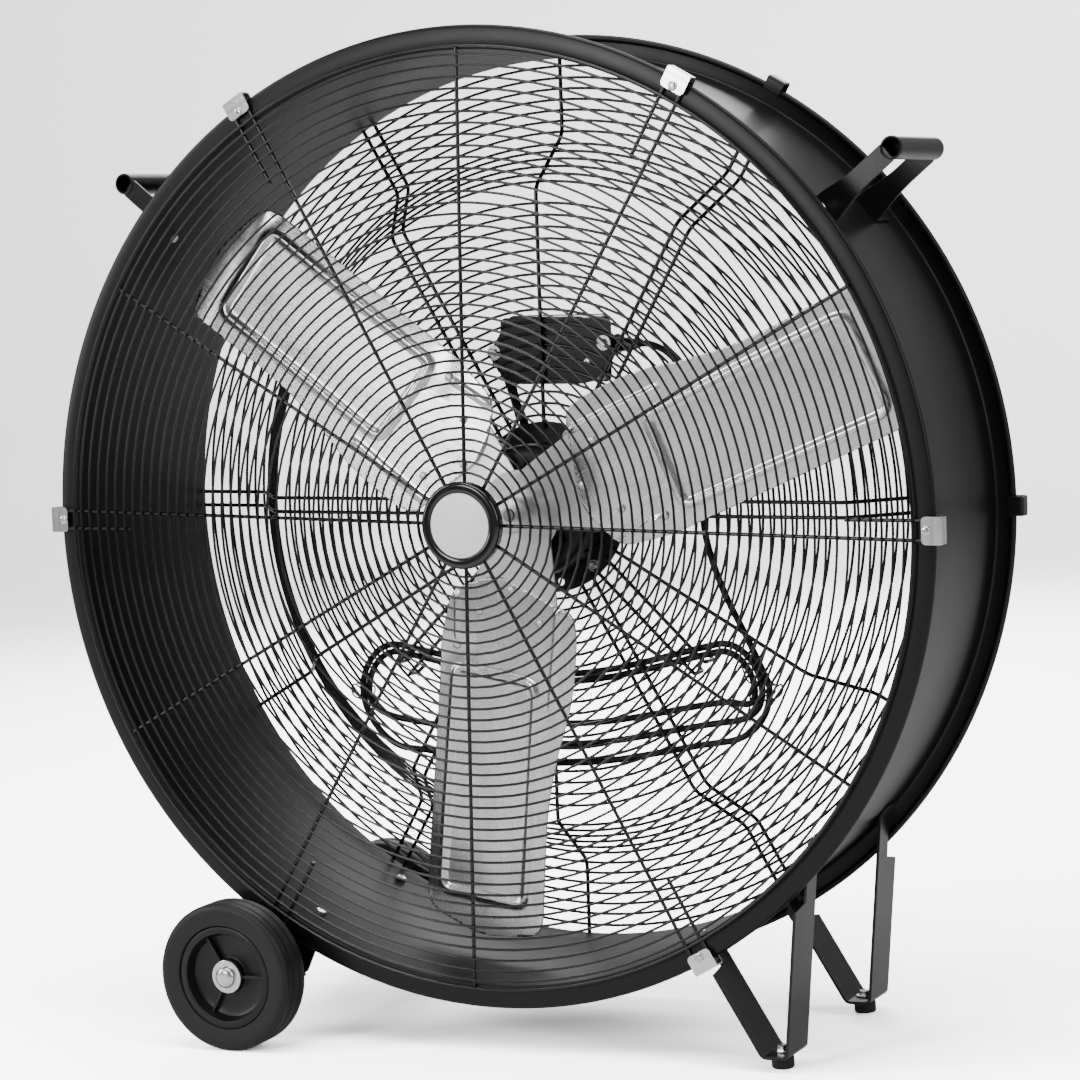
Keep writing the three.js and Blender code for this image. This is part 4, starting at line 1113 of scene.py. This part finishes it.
class DRUMFAN_OT_clips(bpy.types.Operator):
    """Build the clips and screws that hold the guards on the rolled edges"""

    bl_idname = "drum_fan.clips"
    bl_label = "Guard clips"

    def execute(self, context):
        mirror = Matrix.Scale(-1, 4, (0, 1, 0))
        front = clip_plate(26, 5)
        rear = clip_plate(20, 4)
        screw = pan_screw(4.6, 2.4)
        bolt = hexagon_bolt(7.6, 2.2)
        for k in range(6):
            place = DRUM @ about(60 * k)
            shape = Shape().take(front).take(screw, at_mm(475.6, 125.0, 0))
            build(Shape().take(shape, mirror), f"zinc_clip_{k + 1}", "zinc",
                  place=place, bevel=0.35, replaces=(f"front_clip_{k + 1}",))
            shape = Shape().take(rear).take(bolt, at_mm(475.6, 125.0, 0))
            build(shape, f"black_clip_{k + 1}", "sheet_paint", place=place,
                  bevel=0.35, replaces=(f"rear_clip_{k + 1}",))
        return {"FINISHED"}


# ------------------------------------------------------------------ motor
class DRUMFAN_OT_motor(bpy.types.Operator):
    """Build the motor shells, their mounting plate and the leads"""

    bl_idname = "drum_fan.motor"
    bl_label = "Motor"
    bolt_circle = 78.25

    def execute(self, context):
        self.front_bell()
        self.rear_shell()
        self.plate()
        self.leads()
        paint_node("motor_stator", "winding")
        for name in ("front_bearing", "rear_bearing", "rotor_core"):
            paint_node(name, "steel")
        return {"FINISHED"}

    def front_bell(self):
        profile = [(68, 57.7), (68, 24)]
        profile += arc(57, 21, 11, range(0, -91, -15))
        profile += [(30, 10), (28.5, 11.2), (9, 11.2), (9, 12), (16.4, 12), (16.4, 24.6),
                    (19.2, 24.6), (19.2, 12.2), (56, 12.2), (63, 15.5), (66, 23), (66, 57.7)]
        slots = Shape()
        for k in range(24):
            slot = block(34, 53, 8, 14, -2.1, 2.1)
            slots.add(slot, about(15 * k) @ at_mm(44, 0, 0) @ about(-22) @ at_mm(-44, 0, 0))
            side = block(60, 72, 30, 48, -2.0, 2.0)
            slots.add(side, about(15 * k + 7))
        mesh = carved(turned(profile, 96), slots, "motor_bell", 30)
        place_piece("motor_bell", mesh, "motor_paint", place=DRUM,
                    bevel=0.3, replaces=("motor_front_bell",))

    def rear_shell(self):
        profile = [(0, 128), (46, 128)]
        profile += arc(48, 118, 10, range(75, -1, -15))
        profile += [(58, 104), (57.2, 103.4), (57.2, 102.4), (58, 101.8), (58, 40), (56, 40),
                    (56, 117), (46, 126), (19.2, 126), (19.2, 113.4), (16.4, 113.4), (16.4, 125),
                    (0, 125)]
        slots = Shape()
        for k in range(18):
            slots.add(block(28, 44, 124.5, 130, -1.9, 1.9), about(20 * k))
            slots.add(block(52, 62, 107, 116, -2.0, 2.0), about(20 * k + 10))
        mesh = carved(turned(profile, 90), slots, "motor_shell", 30)
        place_piece("motor_shell", mesh, "motor_paint", place=DRUM,
                    bevel=0.3, replaces=("motor_rear_shell",))

    def plate(self):
        profile = [(58.4, 58), (88.0, 58), (88.5, 58.5), (88.5, 60.0), (88.0, 60.5), (58.4, 60.5)]
        holes = Shape()
        for degrees in (264, 279):
            x, z = polar(self.bolt_circle, degrees)
            holes.add(rod(4, 56, 62, 24), at_mm(x, 0, z))
        mesh = carved(turned(profile, 120), holes, "mount_plate")
        place_piece("mount_plate", mesh, "sheet_paint", place=DRUM, replaces=("motor_plate",))
        bolts = Shape()
        bolt = hexagon_bolt(8, 3.6, 6.6, 1.0)
        for degrees in (10, 70, 130, 190, 250, 310.5):
            x, z = polar(self.bolt_circle, degrees)
            bolts.take(bolt, at_mm(x, 58, z, FORWARD))
        build(bolts, "plate_bolts", "zinc", place=DRUM, bevel=0.2)

    def leads(self):
        plane = 69.4
        points = [(-62, 155), (-56.5, 146), (-49, 136), (-43, 121), (-37, 105), (-30, 87),
                  polar(70, 110), polar(58.3, 110)]
        middle = spline_through([Vector((x, plane, z)) for x, z in points], 8)
        sleeve = [4.6 + 0.35 * math.sin(i * 1.9) for i in range(len(middle))]
        shape = Shape().add(tube(middle, sleeve, 14))
        for k in range(2):
            path = []
            for i, point in enumerate(middle[6:]):
                angle = 0.5 + 0.9 * k + 0.035 * i
                bow = 6.2 + (2.5 + 3 * k) * math.sin(math.pi * i / (len(middle) - 7))
                path.append(point + Vector((math.cos(angle) * bow, 0.8 * k, math.sin(angle) * bow)))
            shape.add(tube(path, 1.1, 8))
        build(shape, "motor_wires", "cord", place=DRUM, replaces=("motor_lead",), smooth=60)


# ------------------------------------------------------------------ fan wheel
BLADE_TIP = 437
BLADE = [(-25, -65, 6), (-43, -65, 6), (-87, -76, 16), (-105, -130, 12),
         (-147, -0.934 * BLADE_TIP, 24), (-80, -1.003 * BLADE_TIP, 20),
         (-5.5, -0.998 * BLADE_TIP, 20), (12.6, -283, 60), (50, -190, 30), (58.7, -129, 10),
         (57, -104, 10)]
LOOP = [(-89, -157, 12), (-125.5, -390, 14), (-24, -405, 14), (7, -175, 14)]
RIBS = [((-81, -82), (-84.5, -126)), ((38.7, -100.5), (22.7, -199.5))]
ARM = [(-30, -16, 4), (-92, -122, 10), (-84, -158, 10), (22, -138, 10), (38, -118, 10),
       (34, -16, 4)]
RIVETS = [(-55, -99), (-14.4, -77.7), (17.3, -112.4), (-85.2, -134)]


def blade_plane(x):
    """Where the middle of the leaning sheet is along Y."""
    return -7 - 0.09 * x


def line_distance(x, z, start, end):
    """Distance from a point to the line between two others."""
    (x0, z0), (x1, z1) = start, end
    dx, dz = x1 - x0, z1 - z0
    share = max(0.0, min(1.0, ((x - x0) * dx + (z - z0) * dz) / (dx * dx + dz * dz + 1e-12)))
    return math.hypot(x - x0 - share * dx, z - z0 - share * dz)


def inside_distance(x, z, outline):
    """Distance to an outline, above zero inside it."""
    least = 1e9
    inside = False
    for start, end in zip(outline, outline[1:] + outline[:1]):
        least = min(least, line_distance(x, z, start, end))
        (x0, z0), (x1, z1) = start, end
        if (z0 > z) != (z1 > z) and x < x0 + (z - z0) / (z1 - z0) * (x1 - x0):
            inside = not inside
    return least if inside else -least


def soft_step(value):
    """From 0 to 1 with eased ends."""
    value = max(0.0, min(1.0, value))
    return value * value * (3 - 2 * value)


def ridge(distance, half_width):
    """A rounded bead across its middle line, 1 high."""
    share = abs(distance) / half_width
    return math.cos(share * math.pi / 2) ** 2 if share < 1 else 0.0


def blade_height(x, z, loop):
    """How far the pressed sheet stands forward of its plane."""
    depth = inside_distance(x, z, loop)
    height = 3.0 * ridge(depth, 5.0) - 0.6 * soft_step(depth / 8)
    for start, end in RIBS:
        height += 2.0 * ridge(line_distance(x, z, start, end), 4.0)
    if x < -60 and depth < -5:
        height -= 0.2 * (-depth - 5) * soft_step((-z - 120) / 60) * soft_step((z + 405) / 20)
    if z < -409:
        height += 0.05 * (-409 - z)
    return height


def blade_mesh():
    """A thin sheet cut into fine squares and pressed to its bead, ribs and bent margins."""
    outline = rounded(BLADE, 8)
    loop = rounded(LOOP, 6)
    work = bmesh.new()
    work.faces.new([work.verts.new((x, 0, z)) for x, z in outline])
    for x in range(-150, 62, 2):
        cut_all(work, (x, 0, 0), (1, 0, 0))
    for z in range(-440, -62, 3):
        cut_all(work, (0, 0, z), (0, 0, 1))
    for vertex in work.verts:
        height = blade_height(vertex.co.x, vertex.co.z, loop)
        vertex.co.y = blade_plane(vertex.co.x) - height
    work.normal_update()
    for face in work.faces:
        if face.normal.y > 0:
            face.normal_flip()
    for vertex in work.verts:
        vertex.co *= MM
    mesh = bpy.data.meshes.new("pressed_blade")
    work.normal_update()
    work.to_mesh(mesh)
    work.free()
    mesh.shade_smooth()
    return mesh


def cut_all(work, where, normal):
    geometry = work.verts[:] + work.edges[:] + work.faces[:]
    bmesh.ops.bisect_plane(work, geom=geometry, plane_co=where, plane_no=normal, dist=1e-4)


class DRUMFAN_OT_fan_wheel(bpy.types.Operator):
    """Build the pressed blades, the riveted spider and the hub"""

    bl_idname = "drum_fan.fan_wheel"
    bl_label = "Fan wheel"

    def execute(self, context):
        mesh = blade_mesh()
        for k in range(3):
            place = LEVEL @ about(120 * k)
            blade = place_piece(f"pressed_blade_{k + 1}", mesh.copy(), "aluminium",
                                "fan_rotor", place, replaces=(f"blade_{k + 1}",))
            modifier = blade.modifiers.new("sheet", "SOLIDIFY")
            modifier.thickness = 1.8 * MM
            modifier.offset = 0
            modifier.use_even_offset = True
            rivets = Shape()
            head = dome_rivet(sizes().rivet_radius / MM, 2.2)
            for x, z in RIVETS:
                face = blade_plane(x) - 0.9
                rivets.take(head, at_mm(x, face, z, FORWARD))
                rivets.take(head, at_mm(x, face + 4.6, z))
            build(rivets, f"blade_rivets_{k + 1}", "spider", "fan_rotor", place)
        bpy.data.meshes.remove(mesh)
        self.spider()
        paint_node("motor_shaft", "steel")
        return {"FINISHED"}

    def spider(self):
        shape = Shape()
        front = blade_plane(0) + 0.9 + 0.3
        for k in range(3):
            points, faces = prism(rounded(ARM), 1.2, 3.7)
            points = [(x, y + blade_plane(x), z) for x, y, z in points]
            shape.add((points, faces), about(120 * k))
        shape.add(rod(44, front, front + 2.5, 64, 0.4))
        hub = [(6.4, -29), (11, -29), (12, -28.4), (18, -28.4), (19, -27.4), (19, front + 2),
               (6.4, front + 2)]
        shape.add(lathe(hub, 64))
        build(shape, "riveted_spider", "spider", "fan_rotor", LEVEL,
              bevel=0.4, replaces=("hub_spider",))


# ------------------------------------------------------------------ control box
class DRUMFAN_OT_control_box(bpy.types.Operator):
    """Build the control box with its knob and dial marks"""

    bl_idname = "drum_fan.control_box"
    bl_label = "Control box"

    def execute(self, context):
        ears = rounded([(-37, 197.5, 5), (-60.5, 164, 8), (-40, 126.5, 14), (56, 126.5, 16),
                        (76.5, 149, 9), (77.5, 192, 6)])
        shape = Shape().add(prism(ears, 60.4, 62.6))
        body = rounded([(-50, 162, 6), (-30, 127, 8), (48, 127, 7), (48, 195, 7), (-50, 195, 7)])
        shape.add(prism(body, 62, 115.4))
        build(shape, "sheet_box", "sheet_paint", place=DRUM, bevel=0.7, replaces=("control_box",))
        lid = Shape().add(prism(rounded([(-52, 161.5, 6), (-31, 125.5, 8), (50, 125.5, 7),
                                         (50, 196, 7), (-52, 196, 7)]), 115.7, 117.4))
        build(lid, "box_lid", "sheet_paint", place=DRUM, bevel=0.6)
        knob = [(0, 0), (17.6, 0), (18, 0.5), (18, 4.4), (17.4, 5.2), (15.2, 7), (14.2, 15),
                (13.4, 16.4), (12, 17), (0, 17)]
        place = DRUM @ at(0, 117.7, 161)
        turning = turned(knob, 64)
        grip = rounded([(-3, -14, 2), (3, -14, 2), (3, 17.6, 2.4), (-3, 17.6, 2.4)])
        turning.add(prism(grip, 4, 20))
        build(turning, "control_knob", "black_plastic", "knob", place,
              bevel=0.6, replaces=("speed_knob",))
        pointer = Shape().add(block(-0.7, 0.7, 19.9, 20.0, 8, 16.5))
        build(pointer, "knob_pointer", "white_disc", "knob", place)
        marks = Shape()
        for degrees in (90, 45, 0, -45, -90):
            x, z = polar(22.5, degrees)
            marks.add(block(-1.6, 1.6, 117.3, 117.5, -0.6, 0.6),
                      at_mm(x, 0, 161 + z, about(degrees)))
        build(marks, "dial_marks", "white_disc", place=DRUM)
        screws = Shape()
        screw = pan_screw(3.6, 1.8)
        for x, z in ((-45, 188), (43, 188), (-22, 133), (43, 133)):
            screws.take(screw, at_mm(x, 117.4, z))
        build(screws, "lid_screws", "zinc", place=DRUM)
        bolts = Shape()
        for x, z in ((-57, 159.5), (69, 168)):
            bolts.take(hexagon_bolt(8, 3.4, 8, 1.2), at_mm(x, 60.4, z, FORWARD))
        bolts.take(pan_screw(4, 2), at_mm(50, 60.4, 149, FORWARD))
        build(bolts, "box_bolts", "zinc", place=DRUM)
        return {"FINISHED"}


# ------------------------------------------------------------------ handles
class DRUMFAN_OT_handles(bpy.types.Operator):
    """Build the two carrying handles and their bolts"""

    bl_idname = "drum_fan.handles"
    bl_label = "Handles"

    def execute(self, context):
        half, neck, sheet = 15.5, 10, 3
        arm = 55
        outline = rounded([
            (WALL_SEAT, -half, 0), (WALL_SEAT + 9, -half, 6), (WALL_SEAT + 38, -neck, 14),
            (544.5, -neck, 3), (544.5, neck, 3), (WALL_SEAT + 38, neck, 14),
            (WALL_SEAT + 9, half, 6), (WALL_SEAT, half, 0)])
        grip = [(9, -57.2), (9.4, -58), (10.4, -58), (11, -57.2), (11, 57.2), (10.4, 58), (9.4, 58),
                (9, 57.2)]
        shape = Shape().add(lathe(grip, 48), at_mm(550, 0, 0))
        bolts = Shape()
        for side in (-1, 1):
            shape.add(prism(outline, side * arm - sheet / 2, side * arm + sheet / 2))
            (low, near), (high, far) = sorted([(side * arm, 0), (side * 92, 4)])
            flange = rounded([(low, -half, near), (high, -half, far), (high, half, far),
                              (low, half, near)])
            shape.add(between([(WALL_SEAT, y, z) for y, z in flange],
                              [(WALL_SEAT + sheet, y, z) for y, z in flange]))
            bolts.take(wide_bolt(4.5, 8, 1.4), at_mm(WALL_SEAT + sheet, side * 76, 0, OUTWARD))
            bolts.take(hexagon_bolt(9, 4.2), at_mm(WALL_INSIDE, side * 76, 0, INWARD))
        for name, side in (("right", -1), ("left", 1)):
            place = DRUM @ about(90 + side * 50.8)
            build(shape, f"carry_handle_{name}", "sheet_paint", place=place,
                  bevel=0.5, replaces=(f"handle_{name}",))
            build(bolts, f"handle_bolts_{name}", "zinc", place=place)
        return {"FINISHED"}


# ------------------------------------------------------------------ legs
class DRUMFAN_OT_legs(bpy.types.Operator):
    """Build the two V-shaped legs, their rubber feet and bolts"""

    bl_idname = "drum_fan.legs"
    bl_label = "Legs and feet"

    def execute(self, context):
        sheet = 3
        foot_x, foot_y = 297, 109.3
        wall = WALL_SEAT + sheet / 2
        bottom = 13 + sheet / 2 - AXIS_HEIGHT
        middle = [polar(wall, 297.1), polar(wall, 299), (286.5, bottom), (311.3, bottom),
                  polar(wall, 316.2), polar(wall, 318.1)]
        path = eased(middle, 5, 4)
        for name, side in ENDS:
            low, high = sorted((side * 84.3, side * 134.3))
            strap = Shape().add(prism(strip(path, sheet), low, high))
            (inner, near), (outer, far) = sorted([(side * foot_y, 493), (side * 136, 497)])
            room = [(400, inner), (near, inner), (far, outer), (400, outer)]
            mesh = carved(strap, turned(room, 144), f"leg_strap_{name}")
            place_piece(f"leg_strap_{name}", mesh, "sheet_paint", place=LEVEL,
                        bevel=0.5, replaces=(f"leg_{name}",))
            foot = [(0, 0.2), (9.6, 0.2), (10.4, 0.8), (11, 2), (11, 10.4), (10.4, 12),
                    (9.6, 12.7), (0, 12.7)]
            place = at(foot_x, side * foot_y, 0, UPWARD)
            build(turned(foot, 40), f"rubber_foot_{name}", "rubber", place=place,
                  replaces=(f"foot_{name}",))
            bolts = Shape()
            bolts.take(wide_bolt(4.5, 9, 1.4),
                       at_mm(foot_x, side * foot_y, 13 + sheet - AXIS_HEIGHT, UPWARD))
            for degrees in (298.0, 317.2):
                bolts.take(wide_bolt(4.2),
                           about(degrees) @ at_mm(WALL_INSIDE, side * 97, 0, INWARD))
            build(bolts, f"leg_bolts_{name}", "zinc", place=LEVEL)
        return {"FINISHED"}


# ------------------------------------------------------------------ wheels
class DRUMFAN_OT_wheels(bpy.types.Operator):
    """Build the tyres, wheel centres, cap nuts and the axle bracket"""

    bl_idname = "drum_fan.wheels"
    bl_label = "Wheels"

    def execute(self, context):
        for name, side in ENDS:
            turn = FORWARD if side < 0 else None
            place = at(WHEEL_X, side * WHEEL_Y, WHEEL_RADIUS, turn)
            self.tyre(name, place)
            self.centre(name, place)
            self.nut(name, at(WHEEL_X, 0, WHEEL_RADIUS, turn))
        self.bracket()
        paint_node("wheel_axle", "steel")
        return {"FINISHED"}

    def tyre(self, name, place):
        edge = [(53.3, 16.8), (54.2, 18.2), (56, 18.6), (66, 19.4), (69.5, 19.9), (72.4, 19.2),
                (74.6, 17.6), (75.8, 15), (76, 12), (76, 7.4), (74.6, 6.8), (74.4, 6), (74.6, 5.2),
                (76, 4.6)]
        build(turned(mirrored(edge), 96), f"wheel_tyre_{name}", "tyre", f"{name}_wheel", place,
              replaces=(f"tyre_{name}",))

    def centre(self, name, place):
        face = 11.1
        inside = -WHEEL_Y + BRACKET_Y + 1.5 + 0.6  # just clear of the bracket's sheet
        profile = [(6.35, inside), (16, inside), (17, inside + 1), (17, -4), (43.7, -4),
                   (45.2, -17), (52.7, -17), (52.7, 16.4), (51.8, 17), (46.2, 17), (45.2, 16.2),
                   (44.6, 12), (42, 6), (38.7, 4), (18.6, 4), (17.2, 5.2), (17, 10.2),
                   (16.2, face), (6.35, face)]
        shape = turned(profile, 96)
        for degrees in (60, 180, 300):
            rib = prism([(14, -1.6), (46.6, -1.6), (46.6, 1.6), (14, 1.6)], 3, 10)
            shape.add(rib, about(degrees))
        build(shape, f"wheel_centre_{name}", "black_plastic",
              f"{name}_wheel", place, bevel=0.5, replaces=(f"wheel_{name}",))

    def nut(self, name, place):
        face = 172.3
        profile = [(6.3, face), (16.6, face), (17, face + 0.4), (17, face + 1.3),
                   (16.6, face + 1.6), (11.4, face + 1.6), (11.2, face + 3.4), (10.6, face + 5),
                   (9, face + 6.8), (6.4, face + 8), (3, face + 8.4), (0, face + 8.4), (0, 178.3),
                   (6.3, 178.3)]
        build(turned(profile, 48), f"axle_cap_{name}", "zinc", place=place,
              replaces=(f"cap_nut_{name}",))

    def bracket(self):
        left, right = 239.0, 243.2
        sheet = 3
        axle_height = WHEEL_RADIUS - AXIS_HEIGHT
        middle_turn = about((left + right) / 2)
        half = WALL_SEAT * math.sin(math.radians((right - left) / 2))
        foot = block(WALL_SEAT - 0.1, WALL_SEAT + sheet, -101.5, 101.5, -half, half)
        shape = Shape().add(foot, middle_turn)
        cheek = [(*polar(WALL_SEAT + 0.6, left), 0), (*polar(510, left), 4),
                 (*polar(518, left + 1.4), 4), (*polar(518, right), 5),
                 (*polar(WALL_SEAT + 0.6, right), 0)]
        cheek_x = polar(518, right)[0]
        for side in (-1, 1):
            plane = side * 100
            shape.add(prism(rounded(cheek, 5), plane - sheet / 2, plane + sheet / 2))
            middle = [(cheek_x - 2, plane), (cheek_x - 16, plane),
                      (WHEEL_X + 18, side * BRACKET_Y), (WHEEL_X - 14, side * BRACKET_Y)]
            shape.add(bar(strip(eased(middle, 6, 4), sheet), 28), at_mm(0, 0, axle_height))
        holes = Shape().add(rod(6.3, -146, 146, 24), at_mm(WHEEL_X, 0, axle_height))
        x, z = polar(500, 240.6)
        holes.add(rod(3.2, -110, 110, 20), at_mm(x, 0, z))
        mesh = carved(shape, holes, "axle_bracket")
        place_piece("axle_bracket", mesh, "sheet_paint", place=LEVEL, bevel=0.4,
                    replaces=("wheel_bracket",))
        bolts = Shape()
        for y in (-84, 84):
            bolts.take(wide_bolt(4.2), middle_turn @ at_mm(WALL_INSIDE, y, 0, INWARD))
        build(bolts, "bracket_bolts", "zinc", place=LEVEL)


# ------------------------------------------------------------------ panel and run
OPERATORS = (
    DRUMFAN_OT_stage, DRUMFAN_OT_cord, DRUMFAN_OT_drum, DRUMFAN_OT_front_guard,
    DRUMFAN_OT_rear_guard, DRUMFAN_OT_cap, DRUMFAN_OT_clips, DRUMFAN_OT_motor,
    DRUMFAN_OT_fan_wheel, DRUMFAN_OT_control_box, DRUMFAN_OT_handles, DRUMFAN_OT_legs,
    DRUMFAN_OT_wheels,
)


class DRUMFAN_PT_panel(bpy.types.Panel):
    """Sizes, colours and pieces of the drum fan"""

    bl_idname = "DRUMFAN_PT_panel"
    bl_label = "Drum Fan"
    bl_space_type = "VIEW_3D"
    bl_region_type = "UI"
    bl_category = "Drum Fan"

    def draw(self, context):
        layout = self.layout
        for values in (context.scene.drum_fan_sizes, context.scene.drum_fan_colours):
            box = layout.box()
            for name in values.bl_rna.properties.keys():
                if name not in ("rna_type", "name"):
                    box.prop(values, name)
        for operator in OPERATORS:
            layout.operator(operator.bl_idname)


CLASSES = (DrumFanSizes, DrumFanColours, *OPERATORS, DRUMFAN_PT_panel)


def register():
    for cls in CLASSES:
        bpy.utils.register_class(cls)
    bpy.types.Scene.drum_fan_sizes = PointerProperty(type=DrumFanSizes)
    bpy.types.Scene.drum_fan_colours = PointerProperty(type=DrumFanColours)


def unregister():
    del bpy.types.Scene.drum_fan_colours
    del bpy.types.Scene.drum_fan_sizes
    for cls in reversed(CLASSES):
        bpy.utils.unregister_class(cls)


def main():
    register()
    for operator in OPERATORS:
        group, name = operator.bl_idname.split(".")
        getattr(getattr(bpy.ops, group), name)()


if __name__ == "__main__":
    main()
